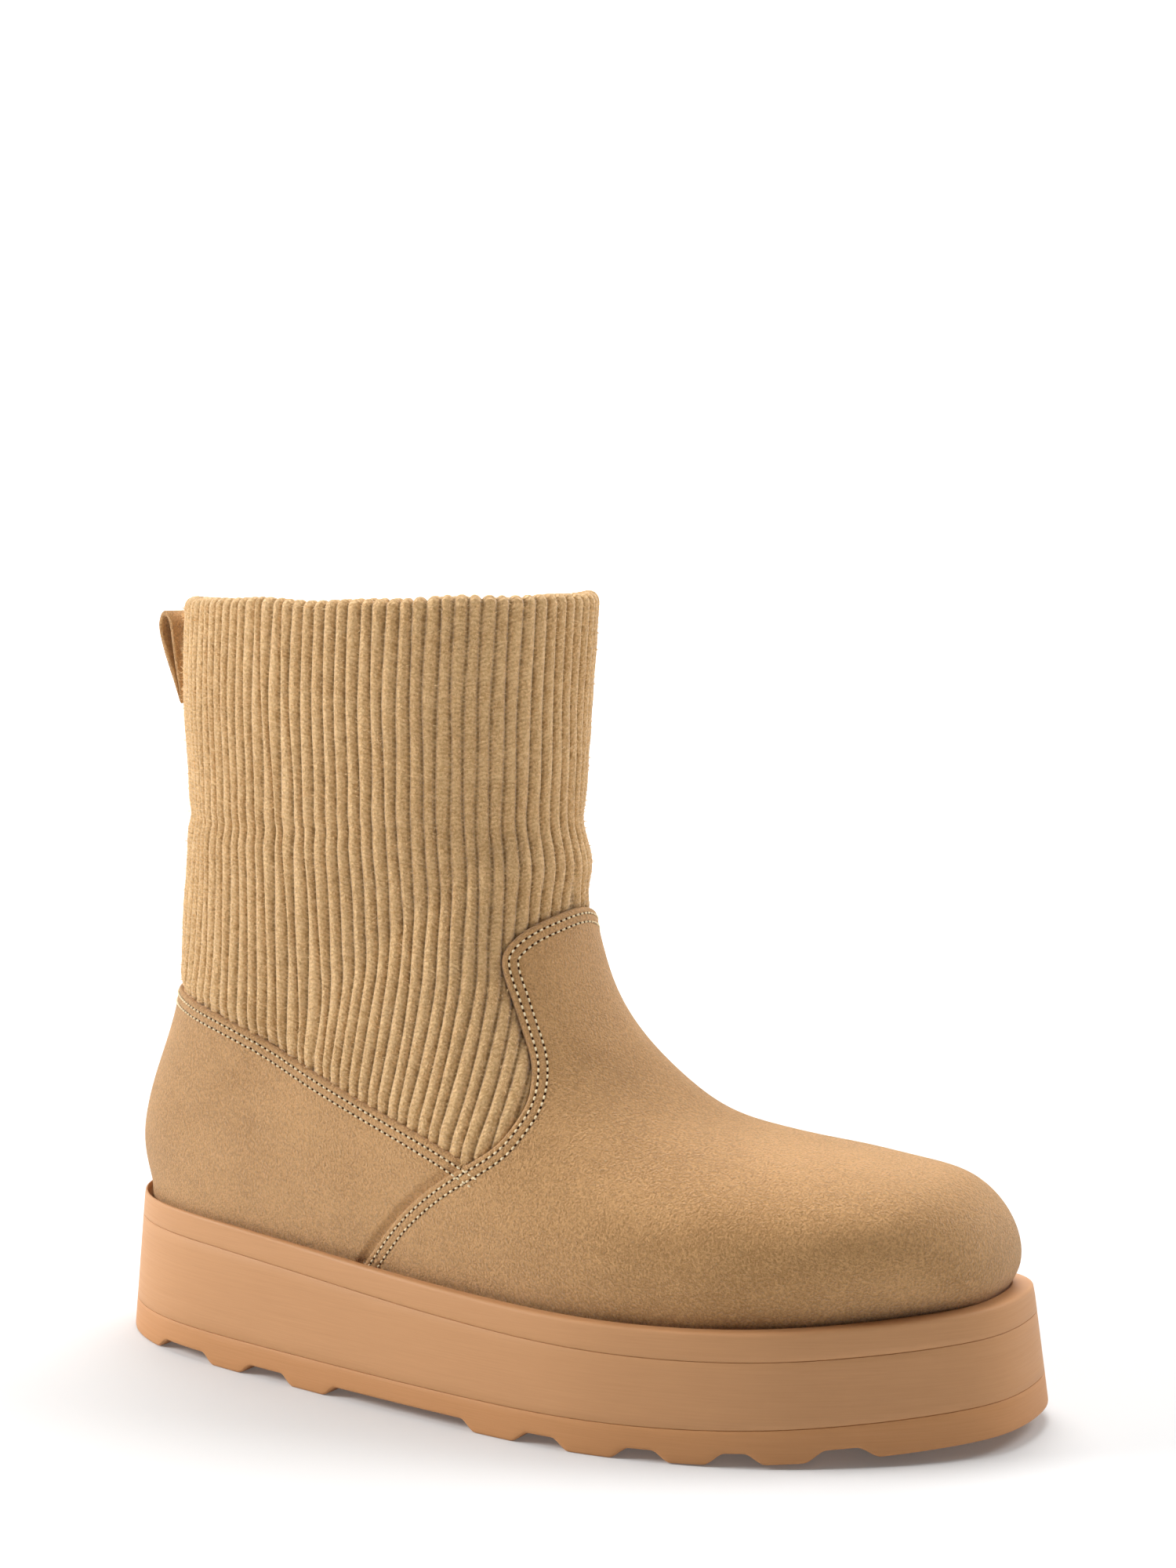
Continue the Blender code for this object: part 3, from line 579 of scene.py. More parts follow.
def build_mesh(name: str, points: np.ndarray, faces: np.ndarray, material: bpy.types.Material,
               uv: np.ndarray | None = None, outward: np.ndarray | None = None) -> bpy.types.Object:
    """Make a smooth mesh object from arrays.

    Args:
        name: the piece's name.
        points: corner places.
        faces: corner indices, three or four to a face.
        material: its finish.
        uv: one pair of numbers for each point, kept as the piece's own map.
        outward: a normal for each point, by which the faces are turned outward as one.

    Returns:
        The new object, linked to the scene.
    """
    points, faces = np.asarray(points, float), np.asarray(faces)
    if outward is not None:
        a, b, c = (points[faces[:, k]] for k in (0, 1, 2))
        turned = (np.cross(b - a, c - a) * outward[faces[:, 0]]).sum() < 0
        faces = faces[:, ::-1] if turned else faces
    mesh = bpy.data.meshes.new(name)
    mesh.from_pydata(points.tolist(), [], faces.tolist())
    mesh.polygons.foreach_set("use_smooth", np.ones(len(mesh.polygons), bool))
    if uv is not None:
        layer = mesh.uv_layers.new(name="pattern")
        corner = np.empty(len(mesh.loops), int)
        mesh.loops.foreach_get("vertex_index", corner)
        layer.data.foreach_set("uv", uv[corner].astype(np.float32).ravel())
    mesh.materials.append(material)
    mesh.update()
    piece = bpy.data.objects.new(name, mesh)
    bpy.context.scene.collection.objects.link(piece)
    LOG.info("%s: %d faces", name, len(faces))
    return piece


def build_sheet(name: str, points: np.ndarray, material: bpy.types.Material, outward: np.ndarray,
                closed: bool = False) -> bpy.types.Object:
    """Make a smooth mesh object from a grid of points.

    Args:
        name: the piece's name.
        points: rows of places.
        material: its finish.
        outward: a direction out of the piece for each point.
        closed: joins the last column to the first.

    Returns:
        The new object, linked to the scene.
    """
    faces = grid_faces(*points.shape[:2], closed)
    return build_mesh(name, points.reshape(-1, 3), faces, material, outward=outward.reshape(-1, 3))


def used_only(points: np.ndarray, faces: np.ndarray, *more: np.ndarray) -> list[np.ndarray]:
    """Drop points that no face uses.

    Args:
        points: corner places.
        faces: corner indices.
        more: arrays with a row for each point.

    Returns:
        The points, faces and other arrays that are left.
    """
    used = np.unique(faces)
    place = np.zeros(len(points), int)
    place[used] = np.arange(len(used))
    return [points[used], place[faces]] + [extra[used] for extra in more]


def mount_piece(piece: bpy.types.Object, slot: Slot, *nodes: str) -> bpy.types.Object:
    """Let a piece ride on the boot.

    Args:
        piece: the mesh object.
        slot: not used.
        nodes: the nodes it stands for.

    Returns:
        The same object.
    """
    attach(piece, "root")
    if nodes:
        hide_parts(*nodes)
    return piece


def colour(code: str) -> tuple[float, float, float, float]:
    """Return a display colour such as 'c49a66' as linear red, green, blue and alpha."""
    parts = [int(code[k:k + 2], 16) / 255.0 for k in (0, 2, 4)]
    return (*[p / 12.92 if p <= 0.04045 else ((p + 0.055) / 1.055) ** 2.4 for p in parts], 1.0)


class Signal:
    """One number socket in a material, on which plain arithmetic adds its Math nodes."""

    def __init__(self, bench: "Bench", socket: bpy.types.NodeSocket) -> None:
        """Keep the socket and the bench that it belongs to."""
        self.bench = bench
        self.socket = socket

    def __add__(self, other: object) -> "Signal":
        """Return the sum."""
        return self.bench.maths("ADD", self, other)

    __radd__ = __add__

    def __sub__(self, other: object) -> "Signal":
        """Return the difference."""
        return self.bench.maths("SUBTRACT", self, other)

    def __rsub__(self, other: object) -> "Signal":
        """Return the difference from the other."""
        return self.bench.maths("SUBTRACT", other, self)

    def __mul__(self, other: object) -> "Signal":
        """Return the product."""
        return self.bench.maths("MULTIPLY", self, other)

    __rmul__ = __mul__

    def __abs__(self) -> "Signal":
        """Return the size without its sign."""
        return self.bench.maths("ABSOLUTE", self)

    def fract(self) -> "Signal":
        """Return the part after the point."""
        return self.bench.maths("FRACT", self)

    def sine(self) -> "Signal":
        """Return the sine."""
        return self.bench.maths("SINE", self)

    def step(self, low: float, high: float) -> "Signal":
        """Return 0 below low, 1 above high and a soft step between."""
        made = self.bench.node("ShaderNodeMapRange", {"interpolation_type": "SMOOTHSTEP", "clamp": True},
                               {"Value": self, "From Min": low, "From Max": high})
        return Signal(self.bench, made.outputs[0])


class Bench:
    """A material being made: its node tree and its shader."""

    def __init__(self, name: str, roughness: float, base: str, **sockets: object) -> None:
        """Start a material with constants on its shader's own sockets.

        Args:
            name: the material's name.
            roughness: its roughness.
            base: its base colour as a display code.
            sockets: other constants by socket name.
        """
        self.material = bpy.data.materials.new(name)
        self.material.use_nodes = True
        self.tree = self.material.node_tree
        self.shader = self.tree.nodes["Principled BSDF"]
        self.shader.inputs["Roughness"].default_value = roughness
        self.shader.inputs["Base Color"].default_value = colour(base)
        self.material.diffuse_color = colour(base)
        for key, value in sockets.items():
            self.shader.inputs[key.replace("_", " ").title()].default_value = value

    def node(self, kind: str, settings: dict, values: dict) -> bpy.types.Node:
        """Add a node.

        Args:
            kind: the node's type.
            settings: its own settings, set first.
            values: numbers, colours or links by socket name or number.

        Returns:
            The new node.
        """
        made = self.tree.nodes.new(kind)
        for key, value in settings.items():
            setattr(made, key, value)
        for key, value in values.items():
            socket = made.inputs[key]
            if isinstance(value, Signal):
                self.tree.links.new(value.socket, socket)
            elif isinstance(value, bpy.types.NodeSocket):
                self.tree.links.new(value, socket)
            else:
                socket.default_value = value
        return made

    def maths(self, operation: str, *values: object) -> Signal:
        """Add a Math node and return what it gives."""
        made = self.node("ShaderNodeMath", {"operation": operation}, dict(enumerate(values)))
        return Signal(self, made.outputs[0])

    def mix(self, factor: object, first: object, second: object) -> bpy.types.NodeSocket:
        """Mix two colours and return the colour socket."""
        made = self.node("ShaderNodeMix", {"data_type": "RGBA"}, {0: factor, 6: first, 7: second})
        return made.outputs[2]

    def place(self, scale: tuple[float, float, float] = (1.0, 1.0, 1.0)) -> bpy.types.NodeSocket:
        """Return object coordinates, stretched."""
        source = self.node("ShaderNodeTexCoord", {}, {}).outputs["Object"]
        return self.node("ShaderNodeMapping", {}, {"Vector": source, "Scale": scale}).outputs[0]

    def noise(self, scale: float, detail: float = 2.0, roughness: float = 0.5,
              vector: bpy.types.NodeSocket | None = None) -> Signal:
        """Add a Noise node.

        Args:
            scale: cells in a metre.
            detail: how many finer layers lie over it.
            roughness: their strength.
            vector: where it is read, object coordinates if left out.

        Returns:
            Noise between 0 and 1.
        """
        where = vector if vector is not None else self.place()
        made = self.node("ShaderNodeTexNoise", {}, {"Vector": where, "Scale": scale, "Detail": detail,
                                                    "Roughness": roughness})
        return Signal(self, made.outputs[0])

    def pattern(self) -> tuple[Signal, Signal]:
        """Return the two numbers of the piece's own map."""
        source = self.node("ShaderNodeUVMap", {"uv_map": "pattern"}, {}).outputs[0]
        made = self.node("ShaderNodeSeparateXYZ", {}, {0: source})
        return Signal(self, made.outputs[0]), Signal(self, made.outputs[1])

    def paint(self, base: bpy.types.NodeSocket) -> None:
        """Link the base colour."""
        self.tree.links.new(base, self.shader.inputs["Base Color"])

    def rough(self, value: Signal) -> None:
        """Link the roughness."""
        self.tree.links.new(value.socket, self.shader.inputs["Roughness"])

    def bump(self, height: Signal, strength: float, distance: float) -> None:
        """Raise the surface by a height signal."""
        made = self.node("ShaderNodeBump", {}, {"Height": height, "Strength": strength, "Distance": distance})
        self.tree.links.new(made.outputs[0], self.shader.inputs["Normal"])


@dataclass(frozen=True)
class KnitFinish:
    """Brushed wool rib: chevron stitches on the ribs, with painted shade between the stitch loops and in the
    furrows between the ribs.
    """

    light: str = "f0c993"
    deep: str = "cba069"
    painted_furrow_shade: str = "7d5a30"
    roughness: float = 0.95

    def material(self) -> bpy.types.Material:
        """Return the knit; its map counts ribs across and stitches along."""
        bench = Bench("tan_knit", self.roughness, self.light, sheen_weight=0.35, sheen_roughness=0.45)
        bench.shader.inputs["Specular IOR Level"].default_value = 0.15
        across, run = bench.pattern()
        wool = bench.noise(1300.0, 3.0, 0.7)
        tuft = bench.noise(480.0, 2.0, 0.6)
        patch = bench.noise(42.0, 3.0, 0.6)
        off = abs(across.fract() * 2.0 - 1.0) + (tuft - 0.5) * 0.34
        wave = (run * (2.0 * math.pi) + off * 3.4 + wool * 3.0).sine() * 0.5 + 0.5
        valley = off.step(0.62, 1.02)
        # Painted shade: the furrows between the ribs are darkened toward a deep brown, as shade in the
        # recess.
        furrow_shade_mask = valley * (wave * 0.45 + tuft * 0.9).step(0.1, 1.0)
        tone = (patch - 0.5) * 0.8 + (wool - 0.5) * 2.4 + (tuft - 0.5) * 1.2 + 0.45
        body = bench.mix(tone.step(0.0, 1.0), colour(self.light), colour(self.deep))
        # Painted shade: the colour darkens where the chevron stitch loops dip, as shade between them.
        loops = bench.mix((1.0 - wave) * 0.30, body, colour(self.deep))
        bench.paint(bench.mix(furrow_shade_mask * 0.72, loops, colour(self.painted_furrow_shade)))
        height = wave * 0.28 * (1.0 - valley) + wool * 1.2 + tuft * 0.8 - valley * 0.35
        bench.bump(height, 0.75, 0.0009)
        return bench.material


@dataclass(frozen=True)
class SuedeFinish:
    """Brushed suede: short nap with fine grain and hand-brushed patches."""

    name: str = "tan_suede"
    light: str = "dcab74"
    deep: str = "ae8250"
    fleck: str = "f3d6a6"
    roughness: float = 0.92

    def material(self) -> bpy.types.Material:
        """Return the suede over object coordinates."""
        bench = Bench(self.name, self.roughness, self.light, sheen_weight=0.30, sheen_roughness=0.4)
        bench.shader.inputs["Specular IOR Level"].default_value = 0.2
        grain = bench.noise(1700.0, 2.0, 0.7)
        speck = bench.noise(1250.0, 3.0, 0.75)
        brushed = bench.noise(38.0, 4.0, 0.6, bench.place((1.0, 1.0, 1.6)))
        broad = bench.noise(11.0, 2.0, 0.5)
        tone = (grain - 0.5) * 1.3 + (speck - 0.5) * 2.0 + (brushed - 0.5) * 0.7 + (broad - 0.5) * 0.6 + 0.45
        body = bench.mix(tone.step(-0.05, 1.05), colour(self.light), colour(self.deep))
        bench.paint(bench.mix(speck.step(0.60, 0.78) * 0.5, body, colour(self.fleck)))
        bench.bump(grain * 0.8 + speck * 1.2, 0.9, 0.0009)
        return bench.material


@dataclass(frozen=True)
class RubberFinish:
    """Gum rubber with fine lengthwise lines, satin."""

    name: str
    light: str = "ce9a6b"
    deep: str = "b88558"
    roughness: float = 0.58

    def material(self) -> bpy.types.Material:
        """Return the rubber; noise squeezed in height draws the lines."""
        bench = Bench(self.name, self.roughness, self.light)
        bench.shader.inputs["Specular IOR Level"].default_value = 0.35
        line = bench.noise(1.0, 3.0, 0.6, bench.place((9.0, 9.0, 900.0)))
        fine = bench.noise(1.0, 2.0, 0.6, bench.place((60.0, 60.0, 2600.0)))
        cloud = bench.noise(24.0, 2.0, 0.5)
        tone = (line - 0.5) * 0.10 + (fine - 0.5) * 0.36 + (cloud - 0.5) * 0.25 + 0.42
        bench.paint(bench.mix(tone.step(0.0, 1.0), colour(self.light), colour(self.deep)))
        bench.rough((line - 0.5) * 0.2 + self.roughness)
        bench.bump(line * 0.3 + fine * 0.5, 0.18, 0.0003)
        return bench.material


@dataclass(frozen=True)
class ClothFinish:
    """A plain finish with a soft grain: lining felt, thread, or the painted shade of a needle hole."""

    name: str
    light: str
    deep: str
    roughness: float = 0.9
    scale: float = 900.0
    depth: float = 0.0003

    def material(self) -> bpy.types.Material:
        """Return the cloth over object coordinates."""
        bench = Bench(self.name, self.roughness, self.light)
        bench.shader.inputs["Specular IOR Level"].default_value = 0.2
        grain = bench.noise(self.scale, 3.0, 0.65)
        bench.paint(bench.mix(grain.step(0.25, 0.8), colour(self.light), colour(self.deep)))
        bench.bump(grain, 0.5, self.depth)
        return bench.material


@dataclass
class KnitShaft:
    """The ribbed knit from the suede's edges up over the folded collar and a little way down inside."""

    form: Form
    finish: bpy.types.Material
    ribs: int = 44
    steps: int = 8
    rib_height: float = 0.00125
    level_step: float = 0.0016
    low: float = 0.056
    vamp_top: float = 0.160
    crest_free: float = 0.131
    fold: float = 0.0022
    fold_steps: int = 7
    inside_to: float = 0.176
    stitch: float = 0.00125
    overlap: float = 0.004
    anchor: float = 0.6
    widest_face: float = 0.006
    stay_top: float = 0.192
    crease_at: float = 0.1585
    bulge_at: float = 0.151
    puff_at: float = 0.1465

    def columns(self) -> np.ndarray:
        """Return the rib labels of one half: 0 at the back seam, 1 at the crest."""
        return np.linspace(0.0, 1.0, self.ribs * self.steps + 1)

    def lean(self, label: np.ndarray, z: float) -> np.ndarray:
        """Return how far the ribs run back at a height: a power of the drop, more near the vamp."""
        drop = np.clip((0.118 - z) / 0.042, 0.0, 1.5) ** 1.35
        return drop * (2.0 + 6.5 * smooth(0.45, 0.80, label)) * MM

    def rim_wave(self, place: np.ndarray) -> np.ndarray:
        """Return how far the collar rises and dips round its edge: three sines that close on themselves.

        Args:
            place: ribs counted from the back seam.

        Returns:
            A height for each place.
        """
        turn = place / self.ribs * math.pi
        broad, fine = np.sin(2.0 * turn + 0.9) + 0.6 * np.sin(5.0 * turn + 2.0), 0.4 * np.sin(11.0 * turn)
        return 0.55 * MM * (broad + fine)

    def half(self, heights: np.ndarray, sign: float) -> tuple[np.ndarray, np.ndarray]:
        """Lay the rib lines over one half of the bootie.

        Args:
            heights: heights over the floor, rising.
            sign: -1 for the outer half, 1 for the inner.

        Returns:
            Rows and sides, one line of them for each height.
        """
        label = self.columns()
        row, side = self.form.girth(heights, sign)
        point = self.form.read(row, side)[0]
        reach = np.concatenate([np.zeros((len(heights), 1)),
                                np.cumsum(np.linalg.norm(np.diff(point, axis=1), axis=2), axis=1)], 1)
        start = int(np.argmin(abs(heights - self.vamp_top)))
        full = reach[start, -1]
        reference = np.interp(label * full, reach[start], point[start, :, 0])
        weight = smooth(0.12, 0.36, label)
        anchor = int(np.argmin(abs(label - self.anchor)))
        rows, sides = np.empty((len(heights), len(label))), np.empty((len(heights), len(label)))
        for k, z in enumerate(heights):
            if k >= start:
                want = label * reach[k, -1]
            else:
                lean = self.lean(label, z)
                level = np.interp(reference - lean, point[k, :, 0], reach[k])
                want = weight * level + (1.0 - weight) * label * full
                spread = 1.0 + 0.10 * smooth(self.crest_free, 0.075, z)
                fill = (reach[k, -1] - level[anchor]) / (1.0 - label[anchor])
                on = level[anchor] + (label - label[anchor]) * min(fill, full * spread)
                on = on - (lean - lean[anchor]) * smooth(self.crest_free, 0.118, z)
                want[anchor:] = on[anchor:]
            want = want + 0.35 * MM * waves(label * 61.0 + z * 46.0, 21) * np.sin(label * math.pi) ** 0.3
            rows[k] = np.interp(want, reach[k], row[k])
            sides[k] = np.interp(want, reach[k], side[k])
        return rows, sides

    def covered(self, rows: np.ndarray, sides: np.ndarray,
                point: np.ndarray) -> tuple[np.ndarray, np.ndarray]:
        """Find the knit under the suede.

        Args:
            rows: rows of the rib lines.
            sides: sides of the rib lines.
            point: their places in space.

        Returns:
            Whether suede lies over each point, and its distance to the nearest suede edge.
        """
        form, limit = self.form, edge_row(sides)
        edges = (form.read(*vamp_edge())[0], HeelQuarter(form, self.finish).edge_path())
        near = np.minimum(*(nearest(point, path) for path in edges))
        under_quarter = (point[..., 2] < quarter_height(form, point[..., 0])) & (rows > limit)
        return (rows < limit) | under_quarter, near

    def relief(self, z: np.ndarray, label: np.ndarray, hidden: np.ndarray,
               near: np.ndarray) -> tuple[np.ndarray, np.ndarray]:
        """Work out how the knit stands on the form: held down by suede, creased and puffed above the vamp.

        Args:
            z: height of each point.
            label: rib label of each column, right round.
            hidden: where suede covers the knit.
            near: distance to the nearest suede edge.

        Returns:
            The lift off the form and the height of the ribs.
        """
        count = len(label)
        place = np.arange(count) / self.steps
        free = np.where(hidden, 0.0, 0.60 + 0.32 * smooth(0.0, 0.0045, near))
        back = np.minimum(np.arange(count), count - np.arange(count)) / self.steps * 4.2 * MM
        stay = (1.0 - smooth(0.0082, 0.0125, back))[None] * (z < self.stay_top)
        held = np.where(hidden, 1.0, 0.5 - 0.5 * smooth(0.0, 0.0030, near))
        lift = -self.form.sunk(z) * (1.0 - free) - 0.35 * MM
        lift = lift - held * 0.55 * MM - stay * 1.3 * MM
        crease = bell(z - self.crease_at - 0.0012 * waves(place * 0.16, 3), 0.0026)
        lift = lift - crease * 0.55 * MM * (1.0 - 0.6 * smooth(0.55, 0.9, label))
        lift = lift + bell(z - self.bulge_at, 0.005) * 0.3 * MM
        puff = bell(z - self.puff_at, 0.0062) * smooth(0.72, 0.95, label)
        lift = lift + puff * 1.5 * MM + waves(place[None] * 0.55 + z * 40.0, 7) * 0.20 * MM
        height = self.rib_height * (1.0 - 0.35 * held) * (1.0 - 0.55 * stay)
        uneven = 1.0 + 0.12 * waves(place * 7.3, 5)[None] + 0.10 * waves(z * 300.0 + place * 2.0, 6)
        return lift, height * uneven

    def build(self) -> bpy.types.Object:
        """Make the ribbed mesh: rib height is a rounded comb over the label, sunk under the suede."""
        form, s = self.form, self.form.sizes
        heights = np.arange(self.low, s.height - self.fold, self.level_step)
        heights = np.append(heights, s.height - self.fold)
        outer, inner = self.half(heights, -1.0), self.half(heights, 1.0)
        rows = np.concatenate([outer[0], inner[0][:, -2:0:-1]], 1)
        sides = np.concatenate([outer[1], inner[1][:, -2:0:-1]], 1)
        label = np.concatenate([self.columns(), self.columns()[-2:0:-1]])
        count = len(label)
        place = np.arange(count) / self.steps
        point, normal = form.read(rows, sides)
        off = abs(2.0 * (place % 1.0) - 1.0)
        comb = (1.0 - off ** 2.3) - 0.60
        hidden, near = self.covered(rows, sides, point)
        lift, height = self.relief(point[..., 2], label, hidden, near)
        outside = point + normal * (lift + height * comb)[..., None]
        top, top_normal = point[-1], normal[-1].copy()
        top_normal[:, 2] = 0.0
        top_normal = unit(top_normal)
        arcs = np.linspace(0.0, math.pi, self.fold_steps + 1)[1:]
        wall = 2.0 * self.fold
        bend = []
        for turn in arcs:
            out = lift[-1] - self.fold * (1.0 - math.cos(turn))
            rib = height[-1] * comb * math.cos(turn)
            ring_points = top + top_normal * (out + rib)[:, None]
            ring_points[:, 2] += self.fold * math.sin(turn) * (1.0 + 0.25 * comb / 0.4)
            bend.append(ring_points)
        down = heights[heights > self.inside_to][::-1][1:]
        inside_rows = len(down)
        inside = point[-1 - np.arange(1, inside_rows + 1)]
        inside_normal = normal[-1 - np.arange(1, inside_rows + 1)]
        inside = inside + inside_normal * (lift[-1] - wall - height[-1] * comb * 0.8)[None, :, None]
        points = np.concatenate([outside, np.array(bend), inside])
        across = np.broadcast_to(place, points.shape[:2])
        points[..., 2] += self.rim_wave(place)[None] * smooth(0.190, s.height, points[..., 2])
        run_out = np.cumsum(np.linalg.norm(np.diff(points, axis=0), axis=2), axis=0).mean(1) / self.stitch
        run = np.broadcast_to(np.concatenate([[0.0], run_out])[:, None], points.shape[:2])
        uv = np.stack([across, run], -1).reshape(-1, 2)
        faces = grid_faces(points.shape[0], count, closed=True)
        deep = hidden & (near > self.overlap)
        gone = np.concatenate([deep, np.zeros((len(arcs) + inside_rows, count), bool)]).ravel()
        corners = points.reshape(-1, 3)[faces]
        wide = np.linalg.norm(corners - np.roll(corners, 1, 1), axis=2).max(1) > self.widest_face
        faces = faces[~gone[faces].all(1) & ~wide]
        facing = np.concatenate([normal, np.repeat(top_normal[None], len(arcs), 0), -inside_normal])
        flat, faces, uv, facing = used_only(points.reshape(-1, 3), faces, uv, facing.reshape(-1, 3))
        piece = build_mesh("knit_shaft", flat, faces, self.finish, uv, facing)
        self.surface = (outside, normal, ~hidden, comb)
        return mount_piece(piece, Slot.KNIT, "upper")

    def build_fuzz(self, material: bpy.types.Material, count: int = 42000) -> bpy.types.Object:
        """Make the wool's loose fibres: thin bent strips that stand off the ribs.

        Args:
            material: their finish.
            count: how many are drawn; those under suede are left out.

        Returns:
            The piece.
        """
        outside, normal, shown, comb = self.surface
        draw = np.random.default_rng(41)
        rows = draw.integers(1, outside.shape[0], count)
        ridge = np.nonzero(comb > -0.1)[0]
        columns = ridge[draw.integers(0, len(ridge), count)]
        keep = shown[rows, columns]
        rows, columns = rows[keep], columns[keep]
        root = outside[rows, columns] + draw.normal(0.0, 0.35 * MM, (len(rows), 3))
        out = normal[rows, columns]
        lie = unit(draw.normal(0.0, 1.0, root.shape))
        length = draw.uniform(0.5, 1.5, len(rows))[:, None] * MM
        root = root - out * 0.25 * MM
        middle = root + unit(out + 0.75 * lie) * length * 0.6
        tip = middle + unit(0.45 * out + lie) * length * 0.6
        width = unit(np.cross(out, lie)) * 0.075 * MM
        points = np.stack([root - width, root + width, middle + width * 0.8, middle - width * 0.8, tip], 1)
        base = np.arange(len(root))[:, None] * 5
        faces = np.concatenate([base + (0, 1, 2), base + (0, 2, 3), base + (3, 2, 4)])
        piece = build_mesh("knit_fuzz", points.reshape(-1, 3), faces, material)
        return mount_piece(piece, Slot.KNIT)


@dataclass
class SuedePanel:
    """A suede panel with a rolled edge and two rows of stitches along it."""

    form: Form
    finish: bpy.types.Material
    rows_at: tuple[float, float] = (0.0019, 0.0044)
    band: float = 0.0075
    roll: float = 0.0011

    def offsets(self) -> np.ndarray:
        """Return distances from the edge, closer together at the roll and the stitch rows."""
        marks = [0.0, 0.12, 0.28, 0.5, 0.8, 1.1, 1.4, 1.65, 1.9, 2.15, 2.4, 2.8, 3.2, 3.6, 3.95, 4.2, 4.4,
                 4.6, 4.85, 5.3, 6.0, 6.7, 7.5]
        return np.array(marks) * MM

    def profile(self, distance: np.ndarray) -> np.ndarray:
        """Return the height over the lining face: a quarter circle at the edge, then troughs at the stitches.

        Args:
            distance: distances from the edge.

        Returns:
            A height for each distance.
        """
        share = np.clip(distance / self.roll, 0.0, 1.0)
        height = self.form.sizes.suede * np.sqrt(np.clip(1.0 - (1.0 - share) ** 2, 0.0, 1.0))
        for at in self.rows_at:
            height = height - 0.28 * MM * bell(distance - at, 0.42 * MM)
        between = sum(self.rows_at) / 2.0
        return height + 0.10 * MM * bell(distance - between, 0.9 * MM)

    def offset_lines(self, rows: np.ndarray, sides: np.ndarray, toward: np.ndarray,
                     ends: float = 0.0) -> tuple[np.ndarray, np.ndarray]:
        """Walk from an edge into the panel, square to the edge on the surface.

        Args:
            rows: rows along the edge.
            sides: sides along the edge.
            toward: a direction in space for each edge point, that points into the panel.
            ends: over this length at both ends the walk turns to run along the base line.

        Returns:
            Rows and sides, one line of them for each distance in offsets().
        """
        form = self.form
        point, normal = form.read(rows, sides)
        tangent = unit(np.gradient(point, axis=0))
        inward = unit(np.cross(normal, tangent))
        inward = inward * np.sign((inward * toward).sum(1))[:, None]
        reach = reach_along(point)
        turn = np.zeros(len(rows))
        if ends > 0.0:
            turn = np.maximum(1.0 - smooth(0.0, ends, reach), 1.0 - smooth(0.0, ends, reach[-1] - reach))
        step_r, step_s = 0.02, 0.004
        row, side = rows.copy(), sides.copy()
        lines = [(row.copy(), side.copy())]
        walked = 0.0
        substeps = 3
        for target in self.offsets()[1:]:
            for _ in range(substeps):
                ahead, behind = form.read(row + step_r, side)[0], form.read(row - step_r, side)[0]
                along_r = (ahead - behind) / (2.0 * step_r)
                low, high = np.maximum(side - step_s, -1.0), np.minimum(side + step_s, 1.0)
                along_s = (form.read(row, high)[0] - form.read(row, low)[0]) / (high - low)[:, None]
                base = unit(along_r)
                base = base * np.sign((base * inward).sum(1))[:, None]
                way = unit(inward * (1.0 - turn)[:, None] + base * turn[:, None])
                way = way / np.maximum((way * inward).sum(1), 0.35)[:, None]
                move = way * (target - walked) / substeps
                a, b, c = (along_r ** 2).sum(1), (along_r * along_s).sum(1), (along_s ** 2).sum(1)
                d, e = (along_r * move).sum(1), (along_s * move).sum(1)
                scale = np.maximum(a * c - b * b, 1e-16)
                row = row + (d * c - e * b) / scale
                side = np.clip(side + (a * e - b * d) / scale, -1.0, 1.0)
            walked = target
            lines.append((row.copy(), side.copy()))
        return np.array([line[0] for line in lines]), np.array([line[1] for line in lines])

    def lifted(self, rows: np.ndarray, sides: np.ndarray,
               height: np.ndarray) -> tuple[np.ndarray, np.ndarray]:
        """Lift points off the panel's lining face.

        Args:
            rows: rows of the points.
            sides: sides of the points.
            height: how far each one stands off.

        Returns:
            The points and their normals.
        """
        point, normal = self.form.read(rows, sides)
        lift = self.form.sizes.curved_gap - self.form.sunk(point[..., 2]) + height
        return point + normal * lift[..., None], normal

    def stitches(self, rows: np.ndarray, sides: np.ndarray) -> list[tuple[np.ndarray, np.ndarray]]:
        """Pick the two stitch rows out of the offset lines.

        Args:
            rows: rows of the offset lines.
            sides: sides of the offset lines.

        Returns:
            Each stitch row as a path with its normals.
        """
        found = []
        marks = self.offsets()
        for at in self.rows_at:
            k = int(np.argmin(abs(marks - at)))
            height = np.full(rows.shape[1], self.profile(np.array([at]))[0])
            found.append(self.lifted(rows[k], sides[k], height))
        return found


